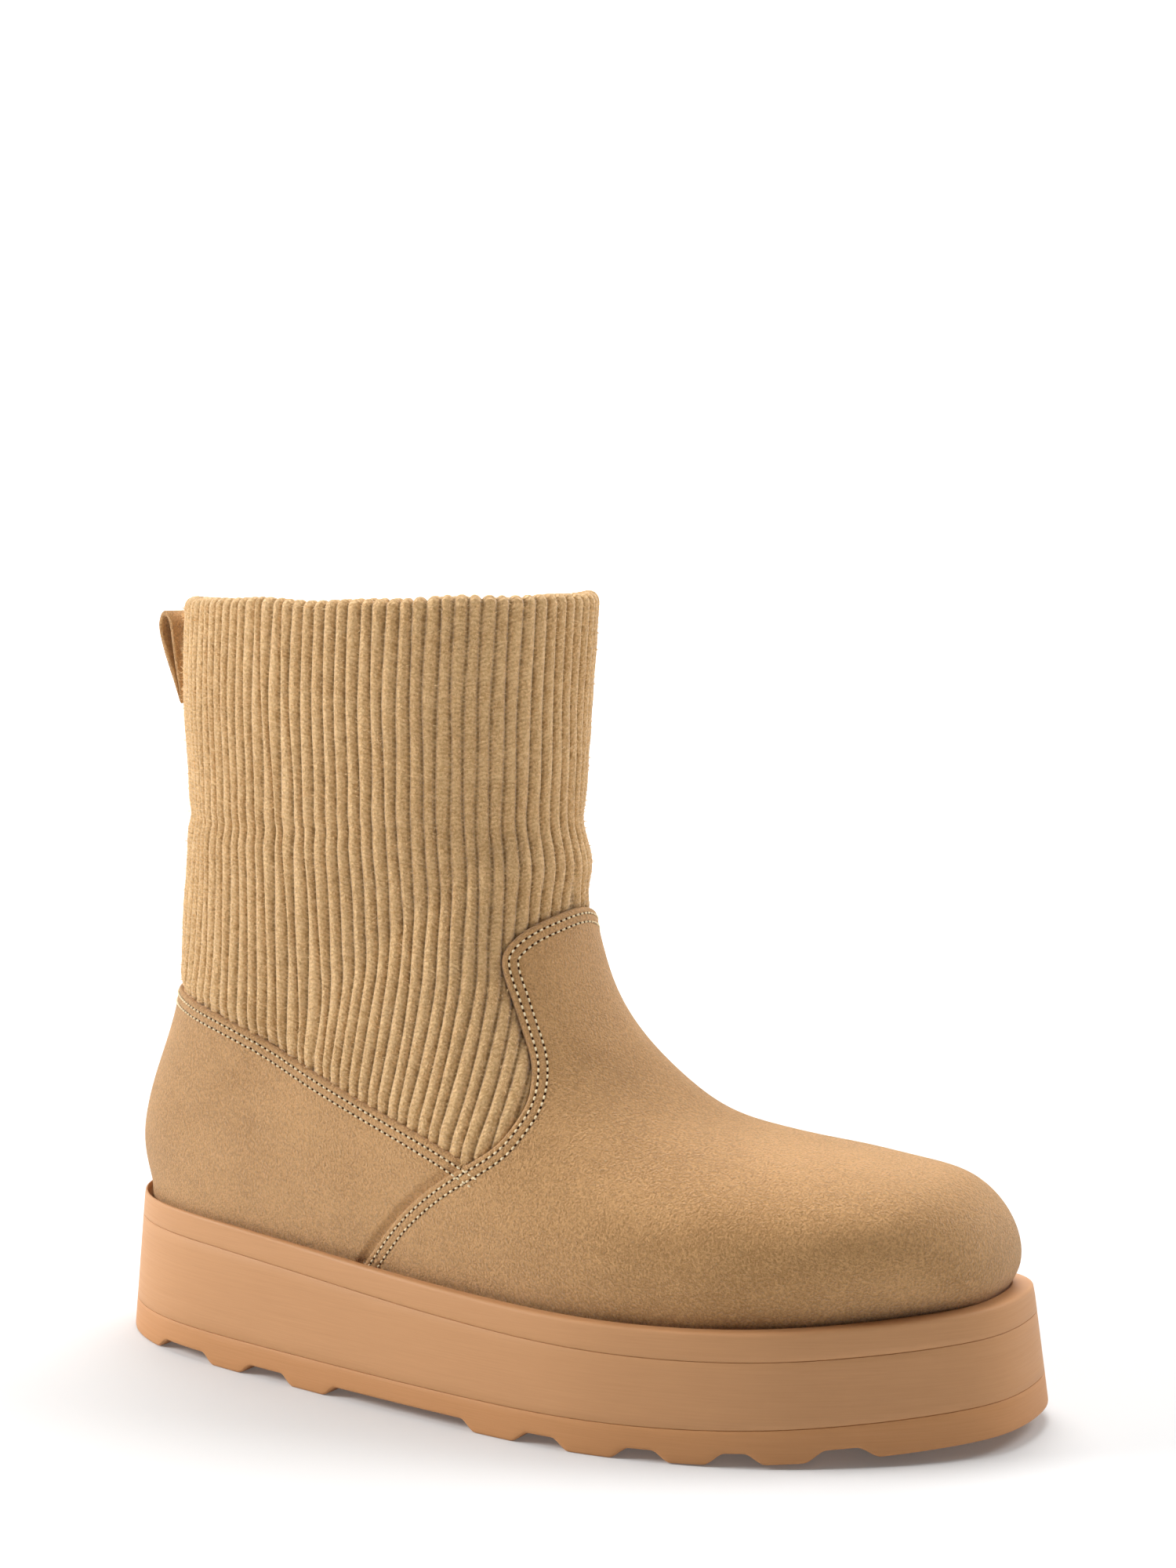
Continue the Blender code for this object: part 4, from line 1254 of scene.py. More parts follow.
@dataclass
class Vamp(SuedePanel):
    """Suede over toe and instep up to the curved seam."""

    spacing: float = 0.00115
    body: int = 92

    def seam(self) -> tuple[np.ndarray, np.ndarray]:
        """Return rows and sides along the seam edge in even steps."""
        rows, sides = vamp_edge()
        reach = reach_along(self.form.read(rows, sides)[0])
        even = np.linspace(0.0, reach[-1], int(reach[-1] / self.spacing))
        return np.interp(even, reach, rows), np.interp(even, reach, sides)

    def build(self) -> bpy.types.Object:
        """Make the panel: offset lines from the seam, then even lines on to the toe's tip."""
        form = self.form
        rows, sides = self.seam()
        point = form.read(rows, sides)[0]
        ahead = form.read(rows - 0.3, sides)[0] - point
        strip_rows, strip_sides = self.offset_lines(rows, sides, ahead, ends=0.016)
        self.strip = (strip_rows, strip_sides)
        marks = self.offsets()
        top = self.profile(marks)[:, None] * np.ones(len(rows))
        under = [(strip_rows[k], strip_sides[k], np.full(len(rows), -0.25 * MM)) for k in (6, 3, 1)]
        lines = under + list(zip(strip_rows, strip_sides, top))
        fan = np.linspace(-1.0, 1.0, len(rows))
        share = np.linspace(1.0, 0.0, 240)
        blend = share ** 0.8
        body_rows = np.empty((self.body, len(rows)))
        body_sides = np.empty((self.body, len(rows)))
        for k in range(len(rows)):
            line_row = strip_rows[-1, k] * share
            line_side = fan[k] + (strip_sides[-1, k] - fan[k]) * blend
            reach = reach_along(form.read(line_row, line_side)[0])
            even = np.linspace(0.0, reach[-1], self.body + 1)[1:]
            body_rows[:, k] = np.interp(even, reach, line_row)
            body_sides[:, k] = np.interp(even, reach, line_side)
        flat = np.full(len(rows), self.form.sizes.suede)
        lines += [(body_rows[k], body_sides[k], flat) for k in range(self.body)]
        rows_all, sides_all, high = (np.array([line[i] for line in lines]) for i in range(3))
        points, normals = self.lifted(rows_all, sides_all, high + self.relief(rows_all, sides_all))
        return mount_piece(build_sheet("suede_vamp", points, self.finish, normals), Slot.SUEDE, "vamp")

    def relief(self, rows: np.ndarray, sides: np.ndarray) -> np.ndarray:
        """Return the soft unevenness of lasted suede: slow waves that fade out toward the seam.

        Args:
            rows: rows of the points.
            sides: sides of the points.

        Returns:
            A height for each point.
        """
        place = self.form.read(rows, sides)[0]
        free = smooth(0.0, 2.0, edge_row(sides) - rows)
        return free * 0.22 * MM * waves(place[..., 0] * 90.0 + place[..., 1] * 60.0, 11)


@dataclass
class HeelQuarter(SuedePanel):
    """Suede round the heel, cut off slanting toward the vamp and tucked under it."""

    count: int = 150
    body: int = 44
    tuck_rows: float = -0.30
    far_row: float = 21.5
    far_side: float = 0.52
    step_down: float = 0.0011

    def lines(self) -> tuple[np.ndarray, np.ndarray, np.ndarray, np.ndarray]:
        """Lay rising lines from the sole over one half.

        Returns:
            Rows and sides of the lines, their climb from 0 to 1, and the climb at which the top edge cuts
            each one.
        """
        share = 1.0 - np.linspace(1.0, 0.0, self.count) ** 1.15
        base_row = VAMP_EDGE[-1][1] + self.tuck_rows
        climb = np.linspace(0.0, 1.0, 241)[:, None]
        side = 1.0 - climb * (1.0 - self.far_side) * (1.0 - share ** 5)[None]
        start = base_row + (HEEL_ROW - base_row) * share
        front_end = float(edge_row(self.far_side)) + self.tuck_rows
        stop = front_end + (self.far_row - front_end) * share ** 1.25
        row = start[None] + climb * (stop - start)[None]
        bend = edge_row(side) + self.tuck_rows - (base_row + climb * (front_end - base_row))
        row = row + bend * ((1.0 - share) ** 3)[None]
        point = self.form.read(row, side)[0]
        over = point[..., 2] - quarter_height(self.form, point[..., 0])
        first = np.argmax(over > 0.0, axis=0)
        k = np.arange(self.count)
        low, high = over[first - 1, k], over[first, k]
        cut = climb[first - 1, 0] + (climb[1, 0] - climb[0, 0]) * (-low / (high - low))
        return row, side, climb[:, 0], cut

    def full(self, half: np.ndarray, mirrored: bool = False) -> np.ndarray:
        """Join the outer half and its mirror image at the back seam."""
        other = half[..., -2::-1]
        return np.concatenate([-half, other] if mirrored else [half, other], -1)

    def edge(self) -> tuple[np.ndarray, np.ndarray]:
        """Return rows and sides along the top edge, on the inner half only."""
        row, side, climb, cut = self.lines()
        k = range(self.count)
        return (np.array([np.interp(cut[j], climb, row[:, j]) for j in k]),
                np.array([np.interp(cut[j], climb, side[:, j]) for j in k]))

    def edge_path(self) -> np.ndarray:
        """Return the top edge of both halves as points in space."""
        rows, sides = self.edge()
        return np.vstack([self.form.read(rows, sides)[0], self.form.read(rows, -sides)[0]])

    def build(self) -> bpy.types.Object:
        """Make the panel: offset lines from the top edge, then lines down to the sole."""
        form, suede = self.form, self.form.sizes.suede
        row, side, climb, cut = self.lines()
        edge_rows, edge_sides = self.edge()
        down = np.broadcast_to((0.0, 0.0, -1.0), (self.count, 3))
        strip_rows, strip_sides = self.offset_lines(edge_rows, edge_sides, down)
        strip_sides[:, -1] = 1.0
        point = form.read(edge_rows, edge_sides)[0]
        base = form.read(row[0], side[0])[0]
        drop = np.linalg.norm(point - base, axis=1)
        ends = np.clip(cut * (1.0 - self.band / drop), 0.0, 1.0)
        steps = np.linspace(1.0, 0.0, self.body + 1)[1:, None]
        body_rows, body_sides = np.empty((self.body, self.count)), np.empty((self.body, self.count))
        for k in range(self.count):
            miss_r = strip_rows[-1, k] - np.interp(ends[k], climb, row[:, k])
            miss_s = strip_sides[-1, k] - np.interp(ends[k], climb, side[:, k])
            at = steps[:, 0]
            body_rows[:, k] = np.interp(at * ends[k], climb, row[:, k]) + miss_r * at ** 2
            body_sides[:, k] = np.interp(at * ends[k], climb, side[:, k]) + miss_s * at ** 2
        self.strip = (self.full(strip_rows), self.full(strip_sides, True))
        marks = self.offsets()
        under = [(strip_rows[k], strip_sides[k], -0.25 * MM) for k in (6, 3, 1)]
        lines = under + [(strip_rows[k], strip_sides[k], h) for k, h in enumerate(self.profile(marks))]
        lines += [(body_rows[k], body_sides[k], suede) for k in range(self.body)]
        rows_all = self.full(np.array([line[0] for line in lines]))
        sides_all = self.full(np.array([line[1] for line in lines]), True)
        high = np.array([line[2] for line in lines])[:, None] * np.ones(rows_all.shape[1])
        place = form.read(rows_all, sides_all)[0]
        clear = smooth(0.0002, 0.0030, nearest(place, form.read(*vamp_edge())[0]))
        tucked = np.where(rows_all < edge_row(sides_all), 0.0, clear)
        fade = smooth(0.0, 0.35, np.linspace(0.0, 1.0, self.body))
        fade = np.concatenate([np.zeros(len(under) + len(marks)), fade])
        relief = 0.18 * MM * waves(place[..., 0] * 80.0 + place[..., 2] * 70.0, 12)
        high = high - (1.0 - tucked) * self.step_down + relief * fade[:, None]
        points, normals = self.lifted(rows_all, sides_all, high)
        piece = build_sheet("suede_quarter", points, self.finish, normals)
        return mount_piece(piece, Slot.SUEDE, "heel_quarter")


@dataclass
class BackStrap:
    """The suede strip up the back seam and the folded loop that stands off it."""

    form: Form
    finish: bpy.types.Material
    stay_width: float = 0.016
    stay_rows: tuple[float, float] = (18.2, 21.02)
    loop_width: float = 0.013
    loop_points: int = 120

    def build_stay(self) -> bpy.types.Object:
        """Make the strip: across it a low dome with rolled edges, along it even steps up the back seam."""
        form, half = self.form, self.stay_width / 2.0
        rows = np.linspace(*self.stay_rows, 90)
        across = np.array([-1.0, -0.99, -0.96, -0.90, -0.82, -0.74, -0.6, -0.4, -0.2, 0.0,
                           0.2, 0.4, 0.6, 0.74, 0.82, 0.90, 0.96, 0.99, 1.0])
        sides = np.empty((len(rows), len(across)))
        for k, row in enumerate(rows):
            places = np.linspace(-1.0, -0.80, 160)
            reach = reach_along(form.read(np.full(160, row), places)[0])
            width = np.interp(abs(across) * half, reach, places + 1.0)
            sides[k] = np.where(across < 0.0, -1.0 + width, 1.0 - width)
        point, normal = form.read(rows[:, None], sides)
        seam = form.read(rows, np.full(len(rows), -1.0))
        point[:, 9], normal[:, 9] = seam[0], seam[1] * (1.0, 0.0, 1.0)
        edge = (1.0 - abs(across)) * half
        roll = np.sqrt(np.clip(1.0 - (1.0 - np.clip(edge / (0.9 * MM), 0.0, 1.0)) ** 2, 0.0, 1.0))
        trough = 0.2 * MM * bell(edge - 1.8 * MM, 0.4 * MM)
        lift = -0.7 * MM + (form.sizes.suede + 0.2 * MM) * roll - trough
        points = point + unit(normal) * lift[None, :, None]
        self.rows_path = [(points[:, k], normal[:, k]) for k in (5, 13)]
        piece = build_sheet("suede_back_stay", points, self.finish, normal)
        return mount_piece(piece, Slot.SUEDE, "back_stay")

    def build_loop(self) -> bpy.types.Object:
        """Make the loop: a closed drop in side view, swept across its width with rounded edges."""
        s, table, count = self.form.sizes, np.array(LOOP), self.loop_points
        heel = self.form.ring(0.0)[0]
        middle = heel[np.argmin(heel[:, 0]), 1]
        wrapped = np.vstack([table[-3:], table, table[:4]])
        knots = np.arange(len(wrapped), dtype=float)
        fine = spline(knots, wrapped, np.linspace(3.0, 3.0 + len(table), count, endpoint=False))
        outer, inner = fine[:, :2] * (s.length, s.height), fine[:, 2:] * (s.length, s.height)
        half, bevel = self.loop_width / 2.0, 0.35 * MM
        centre, arm = (outer + inner) / 2.0, (outer - inner) / 2.0
        size = np.linalg.norm(arm, axis=1)[:, None]
        turns = [(1.0, -half + bevel), (1.0, 0.0), (1.0, half - bevel), (0.7, half - 0.1 * MM), (0.0, half),
                 (-0.7, half - 0.1 * MM), (-1.0, half - bevel), (-1.0, 0.0), (-1.0, -half + bevel),
                 (-0.7, -half + 0.1 * MM), (0.0, -half), (0.7, -half + 0.1 * MM)]
        thick = np.minimum(size, 0.85 * MM) / size
        rings = []
        for up, shift in turns:
            path = centre + arm * (up * thick)
            rings.append(np.column_stack([path[:, 0], np.full(count, middle + shift), path[:, 1]]))
        flat = (np.array(rings) - self.form.middle).reshape(-1, 3)
        faces = grid_faces(len(turns) + 1, count, closed=True) % len(flat)
        core = np.column_stack([centre[:, 0], np.full(count, middle), centre[:, 1]]) - self.form.middle
        facing = flat - np.tile(core, (len(turns), 1))
        piece = build_mesh("suede_pull_loop", flat, faces, self.finish, outward=facing)
        return mount_piece(piece, Slot.SUEDE, "pull_loop")


@dataclass
class Stitching:
    """Waxed thread in short stitches, with the needle holes between them painted dark as the shade inside
    each hole.
    """

    thread: bpy.types.Material
    hole_shade: bpy.types.Material
    pitch: float = 0.00205
    length: float = 0.00115
    radius: float = 0.00031

    def places(self, path: np.ndarray, normal: np.ndarray, phase: float) -> tuple[np.ndarray, ...]:
        """Step along a path by the stitch pitch.

        Args:
            path: its points.
            normal: its normals.
            phase: where the first stitch is, as a share of the pitch.

        Returns:
            Centres, directions and normals of the stitches.
        """
        reach = reach_along(path)
        at = np.arange(phase * self.pitch, reach[-1], self.pitch)
        way = read_path(at + 0.4 * MM, reach, path) - read_path(at - 0.4 * MM, reach, path)
        return read_path(at, reach, path), unit(way), unit(read_path(at, reach, normal))

    def build(self, name: str, paths: list[tuple[np.ndarray, np.ndarray]], slot: Slot) -> None:
        """Make the stitches as small arched spindles and the holes as shallow six-sided cups whose dark
        colour is painted shade.

        Args:
            name: start of the names of both pieces.
            paths: stitch rows as paths with their normals.
            slot: handed on to mount_piece.
        """
        beads, bead_faces, cups, cup_faces = [], [], [], []
        rings = np.array([-1.0, -0.7, 0.0, 0.7, 1.0])
        thick = np.array([0.25, 0.85, 1.0, 0.85, 0.25])
        turn = np.linspace(0.0, 2.0 * math.pi, 6, endpoint=False)
        bead_count = cup_count = 0
        for number, (path, normal) in enumerate(paths):
            centre, way, up = self.places(path, normal, 0.5 + 0.37 * (number % 3))
            across = np.cross(up, way)
            arch = self.radius * (0.9 - 0.9 * rings ** 2)
            core = centre[:, None] + way[:, None] * (rings * self.length / 2.0)[None, :, None]
            core = core + up[:, None] * (arch + 0.10 * MM)[None, :, None]
            aside = np.cos(turn)[None] * thick[:, None] * self.radius
            above = np.sin(turn)[None] * thick[:, None] * self.radius
            round_a = across[:, None, None] * aside[None, ..., None]
            round_b = up[:, None, None] * above[None, ..., None]
            points = (core[:, :, None] + round_a + round_b).reshape(-1, 3)
            beads.append(points)
            one = grid_faces(5, 6, closed=True)
            starts = bead_count + np.arange(len(centre))[:, None, None] * 30
            bead_faces.append((one[None] + starts).reshape(-1, 4))
            bead_count += len(points)
            # Needle hole: a shallow cup; its dark finish is painted shade that stands in for the depth of the
            # hole.
            spot = centre + way * self.pitch / 2.0 + up * 0.16 * MM
            ring = spot[:, None] + (across[:, None] * np.cos(turn)[None, :, None] * 0.34
                                    + way[:, None] * np.sin(turn)[None, :, None] * 0.46) * MM
            pit = spot - up * 0.10 * MM
            block = np.concatenate([ring, pit[:, None]], 1)
            cups.append(block.reshape(-1, 3))
            fan = np.array([(k, (k + 1) % 6, 6) for k in range(6)])
            starts = cup_count + np.arange(len(centre))[:, None, None] * 7
            cup_faces.append((fan[None] + starts).reshape(-1, 3))
            cup_count += 7 * len(centre)
        mount_piece(build_mesh(name + "_thread", np.vstack(beads), np.vstack(bead_faces), self.thread), slot)
        mount_piece(build_mesh(name + "_shaded_holes", np.vstack(cups), np.vstack(cup_faces), self.hole_shade), slot)


@dataclass
class Sole:
    """The layered gum sole: welt with its lip, thick middle layer and lugged bottom layer."""

    form: Form
    upper_finish: bpy.types.Material
    lower_finish: bpy.types.Material
    count: int = 700
    groove: float = 0.00020
    edge: float = 0.0010

    def __post_init__(self) -> None:
        """Keep the outline, its inward normals and the heights along it."""
        self.plain, self.inward = self.form.ring(0.0, self.count)
        self.x = self.plain[:, 0]

    def tread(self, x: np.ndarray) -> np.ndarray:
        """Return the height of the tread's face over the plain underside: a lug's depth, less at each lug.

        Args:
            x: places from the heel.

        Returns:
            A height for each place.
        """
        s = self.form.sizes
        depth = np.full(np.shape(x), s.lug_depth)
        for start, stop in LUGS:
            away = np.maximum(start - x / s.length, x / s.length - stop) * s.length / s.lug_slope
            depth = np.minimum(depth, s.lug_depth * smooth(-0.12, 1.12, away))
        return depth

    def parting(self, x: np.ndarray) -> np.ndarray:
        """Return the height of the line over the bottom layer: a soft step from heel to ball, and the spring.

        Args:
            x: places from the heel.

        Returns:
            A height for each place.
        """
        s = self.form.sizes
        share = smooth(0.0, 0.62, np.asarray(x) / s.length)
        return s.outsole_heel + (s.outsole_toe - s.outsole_heel) * share + self.form.toe_rise(x)

    def lean(self, z: np.ndarray) -> np.ndarray:
        """Return the inset of the sole's side: it grows evenly from the foot to the rim.

        Args:
            z: a height for each point of the outline.

        Returns:
            An inset for each point.
        """
        s = self.form.sizes
        foot = self.form.toe_rise(self.x)
        share = np.clip((z - foot) / (self.form.rim(self.x) - foot), 0.0, 1.0)
        return (s.flare + s.spread) * share - s.spread

    def ring_at(self, z: np.ndarray, more: np.ndarray | float = 0.0) -> np.ndarray:
        """Return a ring on the sole's side at height z, set in by more."""
        flat = self.plain + self.inward * (self.lean(z) + more)[:, None]
        return np.column_stack([flat, np.broadcast_to(z, (self.count,))]) - self.form.middle

    def ring_inset(self, inset: np.ndarray, z: np.ndarray) -> np.ndarray:
        """Return a ring at an inset of its own and height z."""
        flat = self.plain + self.inward * np.broadcast_to(inset, (self.count,))[:, None]
        return np.column_stack([flat, z]) - self.form.middle

    def groove_rings(self, z: np.ndarray, way: float) -> list[np.ndarray]:
        """Return the rings that turn in from the side to a groove at z; way is 1 above it and -1 below."""
        steps = ((0.3 * self.groove, 0.10 * MM), (0.05 * MM, 0.40 * MM), (0.05 * MM, 1.2 * MM))
        return [self.ring_at(z + way * off, inset) for off, inset in steps]

    def shell(self, name: str, rings: list[np.ndarray], finish: bpy.types.Material,
              node: str) -> bpy.types.Object:
        """Join rings into a smooth band.

        Args:
            name: the piece's name.
            rings: rings from top to bottom.
            finish: its finish.
            node: the node it stands for.

        Returns:
            The piece.
        """
        facing = np.array([np.column_stack([-self.inward, np.zeros(self.count)])] * len(rings))
        return mount_piece(build_sheet(name, np.array(rings), finish, facing, closed=True), Slot.RUBBER, node)

    def build_welt(self) -> bpy.types.Object:
        """Make the top layer: seat floor, inner wall of the lip, rounded lip, side and lower edge."""
        s, x = self.form.sizes, self.x
        rim, lip = self.form.rim(x), self.form.lip(x)
        inner = s.flare + lip
        small = np.minimum(0.5 * MM, 0.35 * lip)
        big = np.minimum(self.edge, 0.25 * MM + 0.3 * lip)
        rings = [self.ring_inset(inner + 0.012, rim - s.recess), self.ring_inset(inner, rim - s.recess)]
        rings.append(self.ring_inset(inner, rim - small))
        for turn in (0.35, 0.75, 1.15, math.pi / 2.0):
            inset = inner - small * (1.0 - math.cos(turn))
            rings.append(self.ring_inset(inset, rim - small * (1.0 - math.sin(turn))))
        rings.append(self.ring_inset(s.flare + big + 0.3 * (inner - small - s.flare - big).clip(0.0), rim))
        for turn in (math.pi / 2.0, 1.15, 0.75, 0.35, 0.0):
            out = s.flare + big * (1.0 - math.cos(turn))
            rings.append(self.ring_inset(out, rim - big * (1.0 - math.sin(turn))))
        low = rim - s.welt_depth
        for share in (0.35, 0.7):
            rings.append(self.ring_at(rim - big - (s.welt_depth - big - self.groove) * share))
        rings += [self.ring_at(low + self.groove)] + self.groove_rings(low, 1.0)
        return self.shell("sole_welt", rings, self.upper_finish, "welt")

    def build_midsole(self) -> bpy.types.Object:
        """Make the middle layer between its two fine grooves."""
        s, x = self.form.sizes, self.x
        high, low = self.form.rim(x) - s.welt_depth, self.parting(x)
        rings = self.groove_rings(high, -1.0)[::-1]
        for share in np.linspace(0.0, 1.0, 9):
            rings.append(self.ring_at(high - self.groove + (low + self.groove - high + self.groove) * share))
        return self.shell("sole_middle", rings + self.groove_rings(low, 1.0), self.upper_finish, "midsole")

    def build_outsole(self) -> bpy.types.Object:
        """Make the bottom layer: side, rounded foot and the lugged underside drawn in to a middle line."""
        s, x = self.form.sizes, self.x
        high, foot = self.parting(x), self.form.toe_rise(x) + self.tread(x)
        rings = self.groove_rings(high, -1.0)[::-1]
        for share in np.linspace(0.0, 1.0, 5):
            rings.append(self.ring_at(high - self.groove + (foot + 0.8 * MM - high + self.groove) * share))
        rings.append(self.ring_at(foot + 0.35 * MM, 0.12 * MM))
        rings.append(self.ring_at(foot + 0.08 * MM, 0.40 * MM))
        rings.append(self.ring_at(foot, 0.85 * MM))
        last = rings[-1] + self.form.middle
        spine_x = np.clip(last[:, 0], 0.030, s.length - 0.045)
        places = np.linspace(0.0, s.length, 9)
        centre = np.interp(spine_x, places, self.form.middle_line(self.plain, places))
        spine = np.column_stack([spine_x, centre])
        for share in (0.06, 0.2, 0.4, 0.6, 0.8, 0.93, 1.0):
            flat = last[:, :2] * (1.0 - share) + spine * share
            z = self.form.toe_rise(flat[:, 0]) + self.tread(flat[:, 0])
            rings.append(np.column_stack([flat, z]) - self.form.middle)
        return self.shell("sole_bottom", rings, self.lower_finish, "outsole")


@dataclass
class Inside:
    """What shows through the collar: the brushed lining and the insole."""

    form: Form
    lining: bpy.types.Material
    felt: bpy.types.Material
    depth: float = 0.0030

    def build_lining(self) -> bpy.types.Object:
        """Make the lining: the bootie's form drawn in by its wall, from the sole up to below the collar."""
        form = self.form
        rows = np.linspace(0.35, 21.6, 150)
        sides = np.linspace(-1.0, 1.0, 121)
        point, normal = form.read(rows[:, None], sides[None])
        points = point - normal * (self.depth + form.sunk(point[..., 2]) * 0.6)[..., None]
        points[..., 2] = np.maximum(points[..., 2], form.seat(point[..., 0] + form.middle[0]))
        heel = rows >= HEEL_ROW
        points[heel, -1] = points[heel, 0]
        return mount_piece(build_sheet("bootie_lining", points, self.lining, -normal), Slot.KNIT)

    def build_insole(self) -> bpy.types.Object:
        """Make the insole: a flat sheet with a rounded edge, filled in to its middle line."""
        form, s = self.form, self.form.sizes
        count = 360
        plain, inward = form.ring(0.0, count)
        x = plain[:, 0]
        inset = form.seat_inset(x) + s.suede + s.curved_gap + s.wall + 1.8 * MM
        rings = []
        for down, more in ((1.0, 0.0), (0.35, 0.0), (0.10, 0.35 * MM), (0.0, 1.2 * MM)):
            flat = plain + inward * (inset + more)[:, None]
            height = form.seat(x) + s.insole_thickness * (1.0 - down)
            rings.append(np.column_stack([flat, height]))
        last = rings[-1]
        spine_x = np.clip(last[:, 0], 0.035, s.length - 0.060)
        spine = np.column_stack([spine_x, form.middle_line(plain, spine_x)])
        for share in (0.1, 0.3, 0.6, 0.9, 1.0):
            flat = last[:, :2] * (1.0 - share) + spine * share
            rings.append(np.column_stack([flat, form.seat(flat[:, 0]) + s.insole_thickness]))
        points = np.array(rings) - form.middle
        facing = np.zeros_like(points)
        facing[..., 2] = 1.0
        piece = build_sheet("insole_sheet", points, self.felt, facing, closed=True)
        return mount_piece(piece, Slot.FELT, "insole")


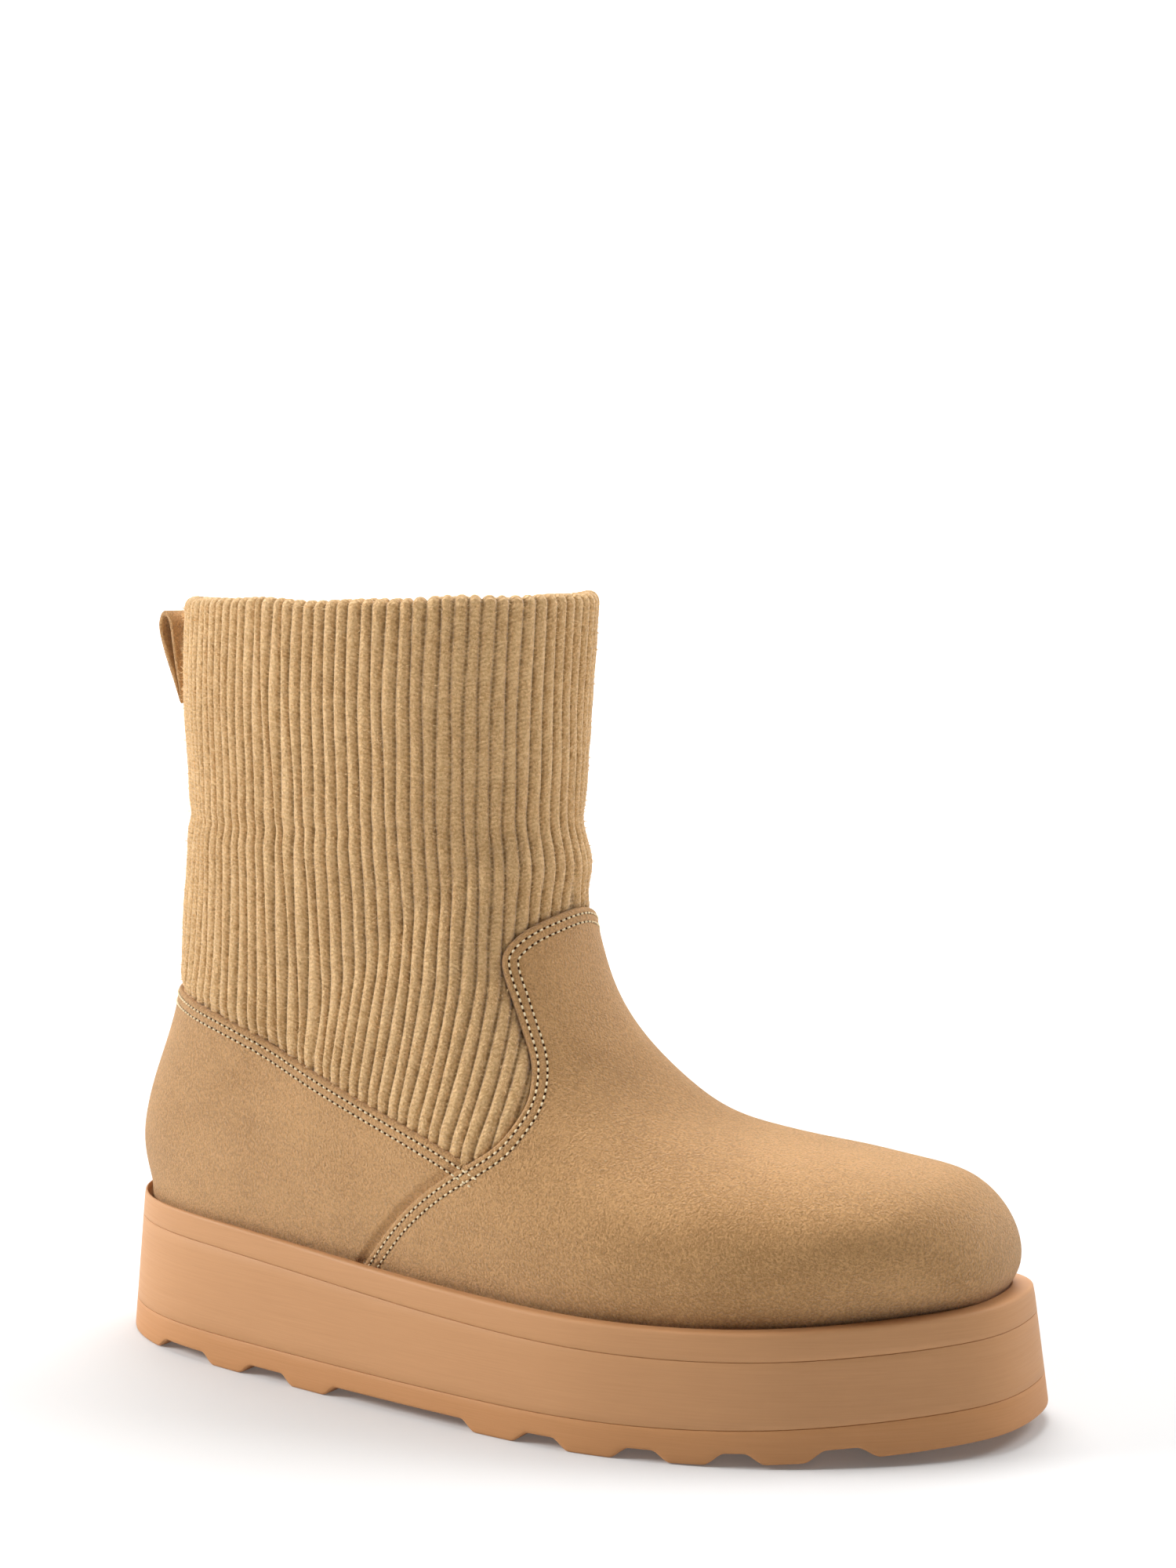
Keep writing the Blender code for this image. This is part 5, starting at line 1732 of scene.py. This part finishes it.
@dataclass
class Studio:
    """Pale floor, soft lights and the camera at the photograph's angle."""

    form: Form
    azimuth: float = 32.23
    pitch: float = 4.3
    roll: float = -0.7
    position: tuple[float, float, float] = (0.5283, -0.5836, 0.2226)
    focal_px: float = 3145.0
    frame_px: float = 2000.0
    sensor: float = 36.0
    wall_at: float = 2.2
    wall_glow: float = 0.85
    floor_glow: float = 0.75
    floor_reach: float = 30.0
    wall_height: float = 1.3
    sky: float = 0.20
    lamps: tuple[tuple, ...] = (
        ("key", (-2.0, -1.05, 1.35), 1.2, 64.0),
        ("top", (-0.2, 0.5, 1.9), 1.4, 36.0),
        ("rim", (1.3, 1.2, 1.7), 1.0, 24.0),
    )

    def build_camera(self) -> None:
        """Set the camera from its azimuth, pitch and roll."""
        az, pitch, roll = (math.radians(v) for v in (self.azimuth, self.pitch, self.roll))
        ahead = Vector((-math.sin(az) * math.cos(pitch), math.cos(az) * math.cos(pitch), -math.sin(pitch)))
        right = Vector((math.cos(az), math.sin(az), 0.0))
        up = right.cross(ahead)
        across = right * math.cos(roll) + up * math.sin(roll)
        upward = up * math.cos(roll) - right * math.sin(roll)
        data = bpy.data.cameras.new("camera")
        data.sensor_fit = "AUTO"
        data.sensor_width = self.sensor
        data.lens = self.focal_px / self.frame_px * self.sensor
        data.clip_start, data.clip_end = 0.01, 50.0
        camera = bpy.data.objects.new("camera", data)
        turn = Matrix((across, upward, -ahead)).transposed()
        place = Vector(self.position) - Vector(self.form.middle)
        camera.matrix_world = Matrix.Translation(place) @ turn.to_4x4()
        bpy.context.scene.collection.objects.link(camera)
        bpy.context.scene.camera = camera

    def add_light(self, name: str, place: tuple[float, float, float], size: float, power: float) -> None:
        """Add a large soft light that looks at the boot.

        Args:
            name: its name.
            place: where it hangs.
            size: its width.
            power: its power in watts.
        """
        data = bpy.data.lights.new(name, "AREA")
        data.shape, data.size, data.energy = "DISK", size, power
        lamp = bpy.data.objects.new(name, data)
        look = Vector((0.0, 0.0, 0.10)) - Vector(place)
        lamp.matrix_world = Matrix.Translation(place) @ look.to_track_quat("-Z", "Y").to_matrix().to_4x4()
        bpy.context.scene.collection.objects.link(lamp)

    def paper(self, name: str, glow: float) -> bpy.types.Material:
        """Make white studio paper that glows a little of itself, more with the distance from the boot.

        Args:
            name: the material's name.
            glow: the strength far from the boot.

        Returns:
            The material.
        """
        bench = Bench(name, 0.95, "fbfbfb")
        bench.shader.inputs["Specular IOR Level"].default_value = 0.0
        bench.shader.inputs["Emission Strength"].default_value = glow
        source = bench.node("ShaderNodeTexCoord", {}, {}).outputs["Object"]
        made = bench.node("ShaderNodeVectorMath", {"operation": "LENGTH"}, {0: source})
        away = Signal(bench, made.outputs["Value"]).step(0.30, 1.3)
        bright = bench.mix(away * 0.9 + 0.1, colour("000000"), colour("ffffff"))
        bench.tree.links.new(bright, bench.shader.inputs["Emission Color"])
        cloud = bench.noise(3.0, 1.0)
        bench.paint(bench.mix(cloud * 0.2, colour("d4d4d4"), colour("d0d0d0")))
        return bench.material

    def build_floor(self) -> None:
        """Lay the pale floor and stand the bright paper wall on it behind the boot."""
        turn = math.radians(self.azimuth)
        back, side = np.array((-math.sin(turn), math.cos(turn))), np.array((math.cos(turn), math.sin(turn)))
        near, far, half = back * -self.floor_reach, back * self.wall_at, side * self.floor_reach
        points = np.array([(*corner, 0.0) for corner in (near - half, near + half, far + half, far - half)])
        face = np.array([(0, 1, 2, 3)])
        build_mesh("floor", points, face, self.paper("pale_floor", self.floor_glow))
        low, high = points[[3, 2]], points[[2, 3]] + (0.0, 0.0, self.wall_height)
        build_mesh("wall", np.vstack([low, high]), face, self.paper("pale_wall", self.wall_glow))

    def build(self) -> None:
        """Set up the whole studio."""
        self.build_camera()
        self.build_floor()
        world = bpy.data.worlds.new("studio")
        world.use_nodes = True
        sky = world.node_tree.nodes["Background"]
        sky.inputs["Color"].default_value = (1.0, 1.0, 1.0, 1.0)
        sky.inputs["Strength"].default_value = self.sky
        bpy.context.scene.world = world
        for lamp in self.lamps:
            self.add_light(*lamp)
        bpy.context.scene.view_settings.view_transform = "Standard"


def main() -> None:
    """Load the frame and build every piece."""
    logging.basicConfig(level=logging.INFO)
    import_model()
    form = Form()
    Studio(form).build()
    knit = KnitFinish().material()
    suede = SuedeFinish().material()
    shaft = KnitShaft(form, knit)
    shaft.build()
    wool = ClothFinish("wool_fibre", "fbdcab", "e8c08a").material()
    shaft.build_fuzz(wool)
    thread = ClothFinish("cream_thread", "fff0cf", "ecd3a2", 0.7, 2500.0, 0.00012).material()
    # Painted shade: the dark finish of the needle holes stands for the shade inside them.
    hole_shade = ClothFinish("needle_hole_shade", "4a3018", "2e1d0e", 0.95, 2500.0, 0.0001).material()
    vamp, quarter = Vamp(form, suede), HeelQuarter(form, suede)
    vamp.build()
    quarter.build()
    strap = BackStrap(form, suede)
    strap.build_stay()
    strap.build_loop()
    stitching = Stitching(thread, hole_shade)
    stitching.build("vamp", vamp.stitches(*vamp.strip), Slot.SUEDE)
    stitching.build("quarter", quarter.stitches(*quarter.strip), Slot.SUEDE)
    stitching.build("stay", strap.rows_path, Slot.SUEDE)
    sole = Sole(form, RubberFinish("gum_rubber_upper").material(),
                RubberFinish("gum_rubber_lower", "ce9563", "b57e4c").material())
    sole.build_welt()
    sole.build_midsole()
    sole.build_outsole()
    inside = Inside(form, ClothFinish("brushed_lining", "d9b484", "b98f5c", 0.95, 700.0, 0.0005).material(),
                    ClothFinish("insole_felt", "b08a5e", "8d6a42", 0.95, 500.0, 0.0005).material())
    inside.build_lining()
    inside.build_insole()


if __name__ == "__main__":
    main()
